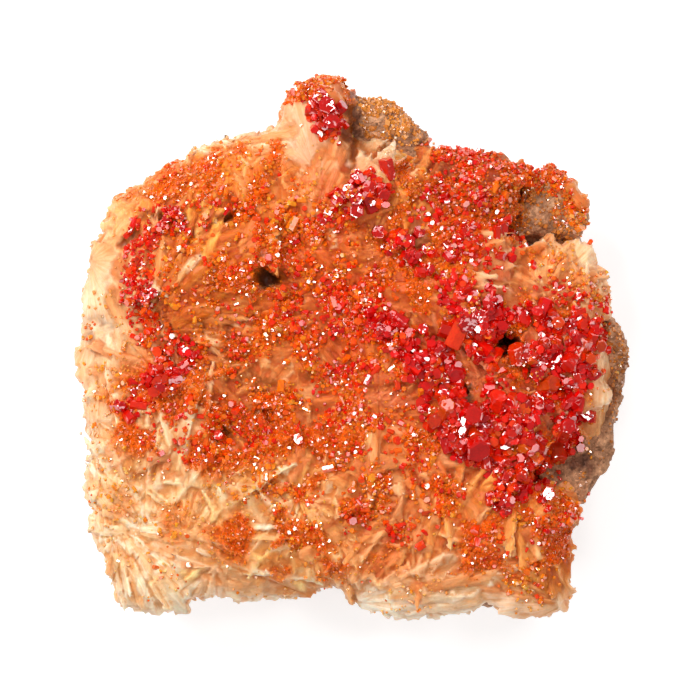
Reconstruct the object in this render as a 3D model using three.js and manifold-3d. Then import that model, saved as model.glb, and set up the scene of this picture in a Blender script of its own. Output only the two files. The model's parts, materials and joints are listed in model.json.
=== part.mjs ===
// Vanadinite on matrix: a hand specimen, in millimetres, +Z up, lying on its broken back.
//
// A slab of brown gossan carries a crust of bladed baryte. Every sheaf, fan and rosette of the crust grew outwards
// from its own nucleus until it met its neighbours, so each is a solid of its own whose walls are the straight
// boundaries between neighbouring nuclei. Red six-sided vanadinite crystals, single and grown together in clusters,
// stand on the crust. The origin is the middle of the specimen's footprint, on the face it rests on.

import * as THREE from 'three';
import { mergeVertices } from 'three/addons/utils/BufferGeometryUtils.js';
import Module from 'manifold-3d';

const wasm = await Module();
wasm.setup();

// ---------------------------------------------------------------- driving dimensions

const GAP = 0.3; // clearance between pieces that touch
const ROCK_TOP = 12; // mean level that the baryte grew on
const ROCK_TILT_X = 0.05; // how that level rises to the right
const ROCK_TILT_Y = -0.03; // and falls to the back
const CRUST_TOP = 21.5; // mean height of the crust
const ROCK_SPOKES = 60;
const ROCK_INSET = 0.965; // how far the rock stays inside the crust's outline
const FLANK_START = -34; // degrees round from +X where the bare right flank of rock begins
const FLANK_END = 8; // degrees where it ends
const BASE_INSET = 0.86; // size of the flat face underneath, as a share of the outline
const EDGE_FALL = 4.2; // how far the crust drops at the broken rim
const FALL_WIDTH = 7; // over this distance from the rim
const CRYSTAL_SINK = 1.6; // how deep a crystal's root starts below the surface
const GOLDEN_ANGLE = 137.5; // degrees from one crystal of a cluster to the next
const CLUSTER_SPACING = 0.52; // distance between a cluster's crystals, in crystal widths
const OUTWARD_LEAN = 9; // degrees that the crystals of a cluster lean outwards, growing with their number
const OUTWARD_SHRINK = 0.03; // share of its height that each further crystal of a cluster loses

// The broken rim seen from above, counter-clockwise from the tip of the horn.
const OUTLINE = [
  [-1.5, 44.5], [-6, 44.5], [-10.5, 42.7], [-11.5, 41.2], [-11.5, 39], [-12, 36.7], [-14, 36.1], [-18, 35],
  [-23, 34], [-27, 32], [-31, 30], [-34, 26.3], [-39.3, 25.6], [-40.5, 22], [-41, 18], [-44, 14.3],
  [-44.4, 9.5], [-45, 1.5], [-45, -5], [-43, -14.5], [-44.4, -22.5], [-42.5, -30], [-39.5, -38],
  [-38.5, -41.5], [-33, -43], [-27.5, -43], [-22, -40.3], [-17, -41], [-12, -40.5], [-6, -39.6],
  [-3, -40], [-0.5, -41.7], [4, -43.4], [11, -43.6], [19.5, -43], [25, -44], [29.5, -44.5],
  [35, -42.7], [35.5, -37.5], [36, -28.5], [37.5, -25], [41, -19.6], [43, -17], [42.5, -13],
  [44, -8.5], [45, -2], [44.5, 3], [41.6, 7.5], [41.5, 12], [39.2, 14.5], [39.5, 17],
  [38.6, 19], [38.8, 22], [37, 23.5], [35, 26.5], [34.3, 28.5], [29.5, 30.5], [24.5, 31.2],
  [22, 32.1], [16.5, 32.5], [14.5, 33.5], [9, 38], [6, 41], [3.5, 41.2], [0.6, 40.6], [0, 43],
];

// Broad swells and hollows of the crust: place, reach and rise.
const SWELLS = [
  { x: -6, y: 40, reach: 6, rise: 4 },
  { x: 0, y: 25, reach: 8, rise: 2.6 },
  { x: -24, y: 10, reach: 13, rise: 2.2 },
  { x: 22, y: 10, reach: 15, rise: 2.4 },
  { x: 8, y: -9, reach: 16, rise: 1.2 },
  { x: 32, y: 22, reach: 6, rise: -6 },
  { x: 16, y: 27, reach: 5, rise: -2.5 },
  { x: -38, y: 2, reach: 9, rise: -2 },
  { x: -4, y: -42, reach: 10, rise: -2.5 },
];

// Growths of the crust: nucleus, weight in the race for space, height of the dome over the nucleus, depth of the
// radial folds between blades, number of spokes.
const GROWTHS = [
  { name: 'horn', x: -6.6, y: 37, weight: 30, dome: 0.8, fold: 0.4, spokes: 20 },
  { name: 'blades_top_left', x: -22, y: 28.5, weight: 70, dome: 0.8, fold: 0.7, spokes: 24 },
  { name: 'block_corner', x: -37, y: 20.5, weight: 10, dome: 0.6, fold: 0.3, spokes: 18 },
  { name: 'rosette_amber', x: -23.5, y: 10.5, weight: 60, dome: 1.8, fold: 0.8, spokes: 26 },
  { name: 'margin_left', x: -40.5, y: 2, weight: 0, dome: 0.5, fold: 0.3, spokes: 20 },
  { name: 'margin_lower_left', x: -38, y: -15, weight: 20, dome: 0.6, fold: 0.4, spokes: 20 },
  { name: 'patch_west', x: -25, y: -7.5, weight: 30, dome: 0.9, fold: 0.6, spokes: 22 },
  { name: 'fan_centre_west', x: -12.5, y: -1, weight: 20, dome: 0.9, fold: 0.7, spokes: 22 },
  { name: 'sheaf_corner', x: -35, y: -32.5, weight: 20, dome: 0.7, fold: 0.7, spokes: 22 },
  { name: 'sheaf_lower_left', x: -22.5, y: -24, weight: 50, dome: 0.8, fold: 0.7, spokes: 24 },
  { name: 'sheaf_lower_centre', x: -7, y: -21, weight: 50, dome: 0.9, fold: 0.8, spokes: 24 },
  { name: 'band_bottom_left', x: -15, y: -37, weight: 20, dome: 0.5, fold: 0.5, spokes: 22 },
  { name: 'band_bottom_right', x: 9, y: -37.5, weight: 20, dome: 0.5, fold: 0.5, spokes: 22 },
  { name: 'sheaf_lower_right', x: 19.5, y: -27.5, weight: 40, dome: 0.9, fold: 0.7, spokes: 24 },
  { name: 'border_lower_right', x: 31, y: -33, weight: 10, dome: 0.6, fold: 0.5, spokes: 20 },
  { name: 'sheet_centre', x: -2.5, y: 11.5, weight: 60, dome: 0.9, fold: 0.6, spokes: 24 },
  { name: 'sheet_lower', x: 6, y: -8, weight: 30, dome: 0.9, fold: 0.6, spokes: 22 },
  { name: 'crest', x: -1, y: 25.5, weight: 20, dome: 1.0, fold: 0.6, spokes: 22 },
  { name: 'rim_top_right', x: 19, y: 27.5, weight: 30, dome: 0.6, fold: 0.7, spokes: 24 },
  { name: 'field_north', x: 17, y: 12, weight: 40, dome: 0.9, fold: 0.6, spokes: 24 },
  { name: 'field_south', x: 22, y: -9, weight: 60, dome: 1.1, fold: 0.6, spokes: 24 },
  { name: 'fan_right', x: 33.5, y: 11, weight: 30, dome: 0.7, fold: 0.8, spokes: 22 },
  { name: 'shell_right', x: 36, y: -3, weight: 10, dome: 0.6, fold: 0.7, spokes: 22 },
];

// Where no baryte grew the rock comes to the surface. Top is the height of the bare rock there.
const OUTCROPS = [
  { name: 'lump', x: 6.5, y: 37.6, weight: 20, dome: 1.5, fold: 0.7, spokes: 18, top: 17.5 },
  { name: 'vug', x: 32.5, y: 22.5, weight: 0, dome: 1.2, fold: 0.9, spokes: 18, top: 15.5 },
  { name: 'flank_high', x: 43.8, y: -1, weight: 0, dome: 0.5, fold: 0.6, spokes: 16, top: 16.5 },
  { name: 'flank_low', x: 39, y: -16, weight: 0, dome: 0.8, fold: 0.7, spokes: 18, top: 16.5 },
];

// Pits left between the blades, opening upwards.
const PITS = [
  { x: 23.2, y: 1.2, width: 3.6, breadth: 3.4, depth: 8 },
  { x: 18.6, y: -7.7, width: 1.6, breadth: 1.9, depth: 6 },
  { x: -14, y: 11.6, width: 5, breadth: 4, depth: 6 },
  { x: 36.8, y: -18.6, width: 4.2, breadth: 4.4, depth: 5 },
  { x: -7.6, y: -4, width: 2, breadth: 2.4, depth: 4 },
  { x: 4.2, y: 10.5, width: 2.4, breadth: 2.6, depth: 4 },
];

// Vanadinite grown together: place, crystals in the cluster, width of one crystal, height above its root.
const CLUSTERS = [
  { name: 'horn', x: -4.3, y: 39.4, count: 5, width: 3, height: 1.9 },
  { name: 'horn_rim', x: -8, y: 42.3, count: 4, width: 1.7, height: 1.5 },
  { name: 'crest', x: 0.3, y: 24.6, count: 7, width: 2.4, height: 2 },
  { name: 'clump_centre', x: 8.8, y: 17.6, count: 5, width: 2.2, height: 1.7 },
  { name: 'field_main', x: 20.6, y: 5.4, count: 8, width: 2.4, height: 2.1 },
  { name: 'field_west', x: 12.2, y: -2, count: 6, width: 2.4, height: 1.9 },
  { name: 'field_middle', x: 17, y: -12.4, count: 7, width: 2.3, height: 2 },
  { name: 'field_east', x: 30, y: -1.6, count: 6, width: 2.4, height: 2.1 },
  { name: 'field_south_east', x: 28, y: -13.5, count: 6, width: 2.3, height: 1.9 },
  { name: 'ball', x: 24.6, y: -23.8, count: 6, width: 2, height: 1.9 },
  { name: 'centre_east', x: 6.3, y: 2.8, count: 5, width: 2, height: 1.7 },
  { name: 'rim', x: 20.2, y: 24.4, count: 5, width: 2, height: 1.7 },
  { name: 'streak_west', x: -31, y: -4.6, count: 6, width: 1.8, height: 1.6 },
  { name: 'arc_west', x: -33.6, y: 8, count: 5, width: 1.7, height: 1.6 },
  { name: 'arc_north', x: -28, y: 21.6, count: 5, width: 1.7, height: 1.6 },
];

// Single vanadinite crystals: place, width across corners, height above the root, tilt and bearing in degrees.
const SINGLES = [
  { name: 'disc_a', x: 3.9, y: 19, width: 2.4, height: 1.1, tilt: 12, bearing: 40 },
  { name: 'disc_b', x: 11.8, y: 16.3, width: 2, height: 1.1, tilt: 8, bearing: 110 },
  { name: 'disc_c', x: 15.2, y: 16.3, width: 2.6, height: 1.1, tilt: 6, bearing: 200 },
  { name: 'disc_d', x: 17.5, y: 20.6, width: 2.2, height: 1.2, tilt: 14, bearing: 300 },
  { name: 'disc_e', x: 18.7, y: 16.6, width: 2.2, height: 1.1, tilt: 10, bearing: 20 },
  { name: 'prism_a', x: 29.6, y: 4, width: 1.7, height: 2.1, tilt: 38, bearing: 80 },
  { name: 'prism_b', x: 33.8, y: -5.4, width: 1.9, height: 1.8, tilt: 24, bearing: 10 },
  { name: 'prism_c', x: 35.2, y: 2.4, width: 1.9, height: 1.6, tilt: 12, bearing: 120 },
  { name: 'prism_d', x: 27, y: -19.4, width: 2, height: 1.6, tilt: 18, bearing: 300 },
  { name: 'prism_e', x: 33.4, y: -12.8, width: 2, height: 1.7, tilt: 22, bearing: 350 },
  { name: 'prism_f', x: 20.6, y: -17.8, width: 1.8, height: 1.6, tilt: 16, bearing: 240 },
];

// ---------------------------------------------------------------- colours

const FINISHES = {
  rock: { color: 0x8a6248, roughness: 0.95, metalness: 0 },
  baryte: { color: 0xefd0b2, roughness: 0.45, metalness: 0 },
  baryte_amber: { color: 0xd9822f, roughness: 0.45, metalness: 0 },
  vanadinite: { color: 0xb81a12, roughness: 0.15, metalness: 0 },
};
const AMBER = new Set(['rosette_amber', 'patch_west', 'rim_top_right']);

// ---------------------------------------------------------------- helpers

const radians = THREE.MathUtils.degToRad;

// A steady irregularity between -1 and 1 for a numbered place, so that broken faces are uneven.
function uneven(a, b) {
  const wave = Math.sin(a * 12.9898 + b * 78.233) * 43758.5453;
  return 2 * (wave - Math.floor(wave)) - 1;
}

// Distance from a point to the rim along a direction.
function reachToRim(x, y, dx, dy) {
  let nearest = Infinity;
  OUTLINE.forEach(([ax, ay], i) => {
    const [bx, by] = OUTLINE[(i + 1) % OUTLINE.length];
    const ex = bx - ax;
    const ey = by - ay;
    const cross = dx * ey - dy * ex;
    if (Math.abs(cross) < 1e-9) return;
    const along = ((ax - x) * ey - (ay - y) * ex) / cross;
    const onEdge = ((ax - x) * dy - (ay - y) * dx) / cross;
    if (along > 0 && onEdge >= 0 && onEdge <= 1) nearest = Math.min(nearest, along);
  });
  return nearest;
}

// Shortest distance from a point to the rim.
function distanceToRim(x, y) {
  const point = new THREE.Vector3(x, y, 0);
  const foot = new THREE.Vector3();
  const edge = new THREE.Line3();
  let nearest = Infinity;
  OUTLINE.forEach(([ax, ay], i) => {
    const [bx, by] = OUTLINE[(i + 1) % OUTLINE.length];
    edge.start.set(ax, ay, 0);
    edge.end.set(bx, by, 0);
    edge.closestPointToPoint(point, true, foot);
    nearest = Math.min(nearest, foot.distanceTo(point));
  });
  return nearest;
}

// The tilted plane that the baryte grew on.
function rockTop(x, y) {
  return ROCK_TOP + ROCK_TILT_X * x + ROCK_TILT_Y * y;
}

// Height of the crust before its blades are folded in.
function crustHeight(x, y) {
  const swell = SWELLS.reduce((sum, s) => {
    const away = ((x - s.x) ** 2 + (y - s.y) ** 2) / s.reach ** 2;
    return sum + s.rise * Math.exp(-away);
  }, 0);
  const inwards = Math.min(distanceToRim(x, y) / FALL_WIDTH, 1);
  return CRUST_TOP + swell - EDGE_FALL * (1 - inwards) ** 2;
}

// Distance from a nucleus to the end of its ground along a direction, and whether that end is the rim.
function groundReach(growth, dx, dy) {
  let nearest = reachToRim(growth.x, growth.y, dx, dy);
  let atRim = true;
  for (const other of [...GROWTHS, ...OUTCROPS]) {
    if (other === growth) continue;
    const ex = other.x - growth.x;
    const ey = other.y - growth.y;
    const towards = dx * ex + dy * ey;
    if (towards <= 0) continue;
    const apart = Math.hypot(ex, ey);
    const reach = (apart ** 2 + growth.weight - other.weight - GAP * apart) / (2 * towards);
    if (reach < nearest) {
      nearest = reach;
      atRim = false;
    }
  }
  return { reach: nearest, atRim };
}

// Height of the crust with the dome of the growth that owns the place.
function surfaceHeight(x, y) {
  const claim = (growth) => (x - growth.x) ** 2 + (y - growth.y) ** 2 - growth.weight;
  const owner = GROWTHS.reduce((best, growth) => (claim(growth) < claim(best) ? growth : best));
  const away = Math.hypot(x - owner.x, y - owner.y);
  if (away === 0) return crustHeight(x, y) + owner.dome;
  const share = away / groundReach(owner, (x - owner.x) / away, (y - owner.y) / away).reach;
  return crustHeight(x, y) + owner.dome * (1 - Math.min(share, 1) ** 2);
}

// A closed mesh as a solid that can be joined and cut.
function toSolid(geometry) {
  const bare = geometry.clone();
  bare.deleteAttribute('normal');
  bare.deleteAttribute('uv');
  const merged = mergeVertices(bare, 1e-4);
  const corners = merged.index.array;
  const faces = [];
  for (let i = 0; i < corners.length; i += 3) {
    const [a, b, c] = [corners[i], corners[i + 1], corners[i + 2]];
    if (a !== b && b !== c && c !== a) faces.push(a, b, c);
  }
  const mesh = new wasm.Mesh({
    numProp: 3,
    vertProperties: Float32Array.from(merged.attributes.position.array),
    triVerts: Uint32Array.from(faces),
  });
  mesh.merge();
  return new wasm.Manifold(mesh);
}

function toGeometry(solid) {
  const { vertProperties, triVerts, numProp } = solid.getMesh();
  const geometry = new THREE.BufferGeometry();
  const places = new Float32Array((vertProperties.length / numProp) * 3);
  for (let i = 0; i < places.length / 3; i += 1) {
    places.set(vertProperties.subarray(i * numProp, i * numProp + 3), i * 3);
  }
  geometry.setAttribute('position', new THREE.BufferAttribute(places, 3));
  geometry.setIndex(new THREE.BufferAttribute(Uint32Array.from(triVerts), 1));
  geometry.computeVertexNormals();
  return geometry;
}

// The biggest body of a solid: cutting can leave crumbs beside it.
function mainBody(solid) {
  return solid.decompose().reduce((best, body) => (body.volume() > best.volume() ? body : best));
}

function joinAll(solids) {
  return solids.reduce((whole, next) => whole.add(next));
}

function pieceOf(name, solid, finish) {
  const mesh = new THREE.Mesh(toGeometry(solid), new THREE.MeshStandardMaterial(FINISHES[finish]));
  mesh.name = name;
  return mesh;
}

// A turned solid whose rings are then reshaped. Place gets a ring number, a spoke number and a bearing, and gives
// the corner's x, y and z.
function spokedSolid(rings, spokes, place) {
  const profile = Array.from({ length: rings }, (_, ring) => {
    const onAxis = ring === 0 || ring === rings - 1;
    return new THREE.Vector2(onAxis ? 0 : 1, ring);
  });
  const lathe = new THREE.LatheGeometry(profile, spokes);
  const points = lathe.attributes.position;
  for (let spoke = 0; spoke <= spokes; spoke += 1) {
    const turn = spoke % spokes;
    const bearing = (2 * Math.PI * turn) / spokes;
    for (let ring = 0; ring < rings; ring += 1) {
      const [x, y, z] = place(ring, turn, bearing);
      points.setXYZ(spoke * rings + ring, x, y, z);
    }
  }
  const solid = toSolid(lathe);
  return solid.volume() < 0 ? toSolid(flipped(lathe)) : solid;
}

function flipped(geometry) {
  const turned = geometry.clone();
  const index = turned.index.array;
  for (let i = 0; i < index.length; i += 3) [index[i + 1], index[i + 2]] = [index[i + 2], index[i + 1]];
  return turned;
}

// ---------------------------------------------------------------- rock

function onFlank(bearing) {
  const degrees = THREE.MathUtils.euclideanModulo(THREE.MathUtils.radToDeg(bearing) + 180, 360) - 180;
  return degrees > FLANK_START && degrees < FLANK_END;
}

// The slab: a flat face underneath, an uneven broken side that bulges halfway up, and a plane on top.
function makeRockBody() {
  const rises = [0, 0, 0.27, 0.63, 1, 1]; // share of the height of the slab
  const widths = [0, BASE_INSET, 0.95, 1, 0.985, 0];
  const roughness = [0, 0.02, 0.025, 0, 0.008, 0];
  return spokedSolid(rises.length, ROCK_SPOKES, (ring, spoke, bearing) => {
    const [dx, dy] = [Math.cos(bearing), Math.sin(bearing)];
    const inset = onFlank(bearing) ? 1 : ROCK_INSET;
    const chipped = widths[ring] - roughness[ring] * (1 + uneven(spoke, ring));
    const radius = reachToRim(0, 0, dx, dy) * inset * chipped;
    const [x, y] = [radius * dx, radius * dy];
    return [x, y, rockTop(x, y) * rises[ring]];
  });
}

// ---------------------------------------------------------------- baryte

// One growth: a plane underneath, upright walls where it met its neighbours, a sloping broken wall at the rim, and
// blades as radial folds running up to the dome over the nucleus.
function makeGrowth(growth, lift) {
  const shares = [0, 1, 1, 0.8, 0.45, 0];
  const undercut = 0.95;
  return spokedSolid(shares.length, growth.spokes, (ring, spoke, bearing) => {
    const [dx, dy] = [Math.cos(bearing), Math.sin(bearing)];
    const { reach, atRim } = groundReach(growth, dx, dy);
    const share = ring === 1 && atRim ? undercut : shares[ring];
    const x = growth.x + dx * reach * share;
    const y = growth.y + dy * reach * share;
    if (ring < 2) return [x, y, rockTop(x, y) + lift];
    const fold = growth.fold * (spoke % 2 ? 1 : -1) * Math.min(1, share * 1.6);
    const dome = growth.dome * (1 - share ** 2);
    const top = growth.top ?? crustHeight(x, y);
    return [x, y, top + dome + fold * (0.7 + 0.3 * uneven(spoke, ring))];
  });
}

// A tapering seven-sided pit, carried on above the surface so that it cuts clean through it.
function makePit({ x, y, width, breadth, depth }) {
  const above = 3;
  const cone = new THREE.CylinderGeometry(0.5, 0.22, depth + above, 7);
  cone.rotateX(Math.PI / 2);
  cone.scale(width, breadth, 1);
  cone.rotateZ(uneven(x, y));
  cone.translate(x, y, crustHeight(x, y) + (above - depth) / 2);
  return toSolid(cone);
}

// ---------------------------------------------------------------- vanadinite

// A six-sided prism with its basal face up, leaning by tilt towards a bearing, its root below the crust.
function makeCrystal({ x, y, width, height, tilt, bearing }) {
  const prism = new THREE.CylinderGeometry(width / 2, width / 2, height + CRYSTAL_SINK, 6);
  prism.rotateX(Math.PI / 2);
  prism.rotateZ(radians(bearing * 3.7));
  prism.translate(0, 0, (height - CRYSTAL_SINK) / 2);
  const lean = new THREE.Vector3(-Math.sin(radians(bearing)), Math.cos(radians(bearing)), 0);
  prism.applyMatrix4(new THREE.Matrix4().makeRotationAxis(lean, radians(tilt)));
  prism.translate(x, y, surfaceHeight(x, y));
  return toSolid(prism);
}

// Crystals set round a first one in a sunflower spiral, so each overlaps its neighbours, all leaning outwards.
function makeCluster({ x, y, count, width, height }) {
  const crystals = Array.from({ length: count }, (_, i) => {
    const bearing = i * GOLDEN_ANGLE + 20 * uneven(x, i);
    const away = CLUSTER_SPACING * width * Math.sqrt(i);
    return makeCrystal({
      x: x + away * Math.cos(radians(bearing)),
      y: y + away * Math.sin(radians(bearing)),
      width: width * (1 + 0.12 * uneven(i, y)),
      height: height * (1 - OUTWARD_SHRINK * i),
      tilt: OUTWARD_LEAN * Math.sqrt(i),
      bearing,
    });
  });
  return joinAll(crystals);
}

// ---------------------------------------------------------------- assembly

const pits = PITS.map(makePit);
const outcropRoot = -1; // an outcrop starts inside the slab and is one with it

const growths = GROWTHS.map((growth) => {
  const whole = makeGrowth(growth, GAP);
  return { ...growth, solid: mainBody(pits.reduce((rest, pit) => rest.subtract(pit), whole)) };
});
const outcrops = OUTCROPS.map((outcrop) => makeGrowth(outcrop, outcropRoot));
const rock = mainBody(joinAll([makeRockBody(), ...outcrops]));
const bedrock = joinAll([rock, ...growths.map((growth) => growth.solid)]).translate([0, 0, GAP]);

const specimen = new THREE.Group();
specimen.add(pieceOf('matrix_rock', rock, 'rock'));
for (const { name, solid } of growths) {
  specimen.add(pieceOf(`baryte_${name}`, solid, AMBER.has(name) ? 'baryte_amber' : 'baryte'));
}
for (const cluster of CLUSTERS) {
  const seated = mainBody(makeCluster(cluster).subtract(bedrock));
  specimen.add(pieceOf(`vanadinite_${cluster.name}`, seated, 'vanadinite'));
}
for (const single of SINGLES) {
  const seated = mainBody(makeCrystal(single).subtract(bedrock));
  specimen.add(pieceOf(`vanadinite_${single.name}`, seated, 'vanadinite'));
}

// The specimen stands on its flat face with the middle of its footprint on the origin.
const box = new THREE.Box3().setFromObject(specimen);
const middle = box.getCenter(new THREE.Vector3());
specimen.position.set(-middle.x, -middle.y, -box.min.z);

export default specimen;
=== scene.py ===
"""Vanadinite on matrix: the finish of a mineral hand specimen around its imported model.

The rock, the baryte crust with its blades, the large vanadinite crystals and the druse each have an operator.
Lengths in the tables are millimetres, and places in them are plan points: x and y on the specimen, in
millimetres. Meshes are in metres.
"""

import json
import math

import bmesh
import bpy
import numpy as np
from bpy.props import FloatProperty, FloatVectorProperty, IntProperty, PointerProperty
from mathutils import Matrix, Vector
from mathutils.bvhtree import BVHTree

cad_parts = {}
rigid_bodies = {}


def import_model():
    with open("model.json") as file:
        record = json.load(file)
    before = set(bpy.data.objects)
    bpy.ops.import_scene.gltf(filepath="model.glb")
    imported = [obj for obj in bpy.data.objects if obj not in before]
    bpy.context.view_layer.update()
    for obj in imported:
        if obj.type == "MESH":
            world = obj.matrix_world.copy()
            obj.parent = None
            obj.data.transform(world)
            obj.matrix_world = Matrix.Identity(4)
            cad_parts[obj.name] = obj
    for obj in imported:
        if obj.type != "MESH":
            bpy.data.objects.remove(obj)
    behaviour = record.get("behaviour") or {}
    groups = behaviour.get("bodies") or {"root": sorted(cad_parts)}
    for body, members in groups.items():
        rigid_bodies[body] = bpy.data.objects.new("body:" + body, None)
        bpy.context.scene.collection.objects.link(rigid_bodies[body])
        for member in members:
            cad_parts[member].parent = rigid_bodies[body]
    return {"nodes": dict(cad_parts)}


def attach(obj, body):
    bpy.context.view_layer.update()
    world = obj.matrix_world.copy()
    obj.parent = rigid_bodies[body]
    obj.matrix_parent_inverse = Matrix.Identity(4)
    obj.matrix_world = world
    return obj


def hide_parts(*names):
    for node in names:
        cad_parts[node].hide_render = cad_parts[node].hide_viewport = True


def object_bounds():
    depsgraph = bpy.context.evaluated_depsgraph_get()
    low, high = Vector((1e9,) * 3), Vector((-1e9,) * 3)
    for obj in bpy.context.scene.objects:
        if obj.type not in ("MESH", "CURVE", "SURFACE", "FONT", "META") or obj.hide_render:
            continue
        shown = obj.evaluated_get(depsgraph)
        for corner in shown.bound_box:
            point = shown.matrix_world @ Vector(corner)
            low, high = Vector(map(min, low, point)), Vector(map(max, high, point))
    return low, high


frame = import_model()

bl_info = {
    "name": "Vanadinite Specimen",
    "version": (1, 0, 0),
    "blender": (4, 5, 0),
    "location": "3D View > Sidebar > Specimen",
    "description": "Builds the rock, baryte and vanadinite of a mineral hand specimen",
    "category": "Object",
}

CAD_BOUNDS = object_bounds()
MM = 0.001
SKY = 0.05  # rays that look for the surface start at this height
HIGHEST_SEAT = 0.0263  # no crystal of the bands stands on anything higher, so they stay within the frame
HALF_PLAN = 45.0  # half the width of the square that blades and dust are scattered over
BARYTE_NODES = sorted(name for name in frame["nodes"] if name.startswith("baryte_"))
CRYSTAL_NODES = sorted(name for name in frame["nodes"] if name.startswith("vanadinite_"))

# Softboxes: place, size and share of the key's brightness. The tent between them is nearly dark.
SOFTBOXES = {
    "key": ((-0.34, 0.30, 0.45), 0.29, 1.0),
    "top": ((0.06, 0.56, 0.46), 0.42, 0.18),
    "left": ((-0.58, -0.14, 0.34), 0.34, 0.21),
    "fill": ((0.46, -0.16, 0.42), 0.32, 0.21),
    "spark_right": ((0.24, 0.12, 0.60), 0.14, 1.0),
    "spark_low": ((-0.08, -0.30, 0.60), 0.14, 1.0),
}

# Fans of baryte blades: focus x and y, bearing of the middle blade in degrees, and reach.
FANS = {
    "top_left_a": (-27, 32.5, 265, 9),
    "top_left_b": (-19.5, 33.5, 270, 10),
    "top_left_c": (-11.5, 32.5, 250, 9),
    "corner_block": (-33.5, 25.5, 225, 10),
    "rosette": (-33.5, 5, 35, 18),
    "rosette_high": (-31, 14.5, 25, 13),
    "rosette_low": (-31.5, 3, 5, 13),
    "margin_high": (-43, 14.5, 300, 11.5),
    "margin": (-42.5, 3, 330, 10),
    "margin_low": (-41.5, -11.5, 20, 10),
    "streak": (-27, -5, 190, 11.5),
    "pale_fan": (-15, -8, 90, 8),
    "west_centre": (-9, 0, 170, 10),
    "patch": (-17, -11.5, 200, 10),
    "striped_left": (-33.5, -29.5, 92, 15),
    "striped_right": (-27.5, -31, 78, 14),
    "left_edge": (-42.5, -18, 320, 8),
    "corner_sheaf": (-38.5, -30, 275, 14),
    "corner_sheaf_right": (-37.5, -29, 322, 16.5),
    "bottom_left": (-22.5, -34.5, 235, 9),
    "low_centre_left": (-9, -23, 183, 13),
    "low_centre_down": (-8, -23.5, 245, 14),
    "low_centre": (-9, -23, 290, 12),
    "low_v": (-18, -34.5, 70, 10),
    "pink_zone": (7.5, -28, 200, 10.5),
    "band_left": (-4, -41, 168, 18),
    "band_middle": (-0.5, -41, 350, 16.5),
    "band_right": (35.5, -41, 178, 19.5),
    "low_right_sheaf": (10.5, -39.5, 52, 15.5),
    "low_right_b": (14, -38.5, 25, 13),
    "right_border": (30.5, -32, 290, 11.5),
    "right_middle": (40, -21, 140, 10),
    "right_fan": (31, 9.5, 35, 12),
    "right_fan_low": (32, 8, 355, 10),
    "shell": (40, -0.5, 40, 6),
    "right_band": (39, -19.5, 85, 18),
    "sheet_discs": (2.5, 16.5, 350, 14.5),
    "sheet_discs_high": (14, 12, 60, 10),
    "yellow_blades": (5.5, 32.5, 300, 8),
    "cleft_left": (-4.5, 24.5, 70, 6.5),
    "cleft_right": (-0.5, 26, 60, 6.5),
    "horn": (-6, 28.5, 100, 13),
    "centre_west": (-0.5, 8, 200, 13),
    "centre_north": (-9, 16.5, 60, 10),
    "centre_east": (-0.5, 8, 20, 11.5),
    "centre_south": (4, -8, 150, 13),
    "centre_low": (4, -10, 330, 13),
    "field": (20.5, -5, 120, 11.5),
    "field_east": (30.5, -8, 60, 10),
    "field_south_east": (27, -19.5, 300, 10),
    "south_centre": (14, -18, 250, 11.5),
    "rim": (14, 31, 330, 10),
    "rim_right": (33.5, 27.5, 200, 13),
}

FAN_STRIDE = 7.31  # keeps the noise of neighbouring fans apart
FAN_MIDDLE = 0.55  # where a fan's middle lies, as a share of its reach
FAN_WINDING = 1.4  # how far the borders between fans wander

# Bodies of baryte that fill the gaps between the frame's growths: place, half sizes, turn about Z in degrees.
BARYTE_SWELLS = {
    "right_band": (38.8, -9.0, 12.9, 12.5, 3.4, 5.0, 80),
    "yellow_blades": (7.5, 30.5, 14.0, 4.5, 4.0, 5.5, 0),
    "vug_rim": (34.8, 26.2, 14.0, 5.5, 1.9, 4.5, -42),
    "lump_foot": (10.5, 32.5, 13.0, 3.0, 2.5, 5.0, -30),
    "lump_blades": (4.6, 32.6, 14.5, 4.2, 3.0, 5.2, 60),
    "border_foot": (35.0, -21.5, 12.5, 5.0, 4.2, 4.5, 60),
}

# Bodies of rock that fill the cleft: place, half sizes, turn about Z in degrees.
ROCK_SWELLS = {
    "cleft_top": (0.0, 38.5, 13.2, 2.0, 4.0, 7.2, 8),
    "cleft_foot": (-0.8, 32.5, 13.0, 1.5, 4.5, 7.4, 10),
}

# Holes and crevices in the crust: place, half sizes, turn in degrees and depth.
HOLLOWS = {
    "black_hole": (24.0, 1.2, 2.4, 2.0, 0, 8.0),
    "small_black_hole": (18.6, -7.7, 1.1, 1.4, 0, 6.0),
    "brown_hole": (-14, 11.6, 2.7, 1.8, -15, 2.8),
    "brown_hole_step": (-14.4, 15.4, 1.3, 0.9, 0, 2.0),
    "cleft": (-0.3, 36.0, 1.5, 6.5, 3, 2.2),
    "brown_pocket": (36.6, -18.4, 2.0, 2.1, 0, 4.0),
    "west_pinhole": (-7.6, -4, 0.9, 0.9, 0, 1.6),
    "north_pinhole": (4.2, 10.5, 0.8, 0.8, 0, 1.6),
    "upright_slot": (-15.6, -10, 0.5, 1.5, 0, 1.6),
    "upper_crevice": (-32, 21.6, 3.2, 0.7, -12, 1.8),
    "corner_crevice": (-37.2, 17.5, 2.9, 0.7, 32, 1.8),
    "north_crevice": (-21, 21.4, 2.0, 0.6, -10, 1.5),
    "foot_crevice": (-22.8, 3.4, 3.2, 1.0, 10, 1.5),
    "west_slot": (-29.4, -9.8, 0.5, 1.1, 0, 1.5),
    "south_slot": (-20.2, -13.4, 0.6, 1.1, 20, 1.5),
    "fan_foot": (-14.6, -6.6, 3.4, 0.5, 5, 1.5),
}

# A rust stain in the hollows, then a darker brown deep inside them as painted shade
HOLLOW_STAINS_AND_SHADE = (((0.62, 0.30, 0.07), 0.0), ((0.40, 0.21, 0.10), 1.6))  # colours, and depths they start at

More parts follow.
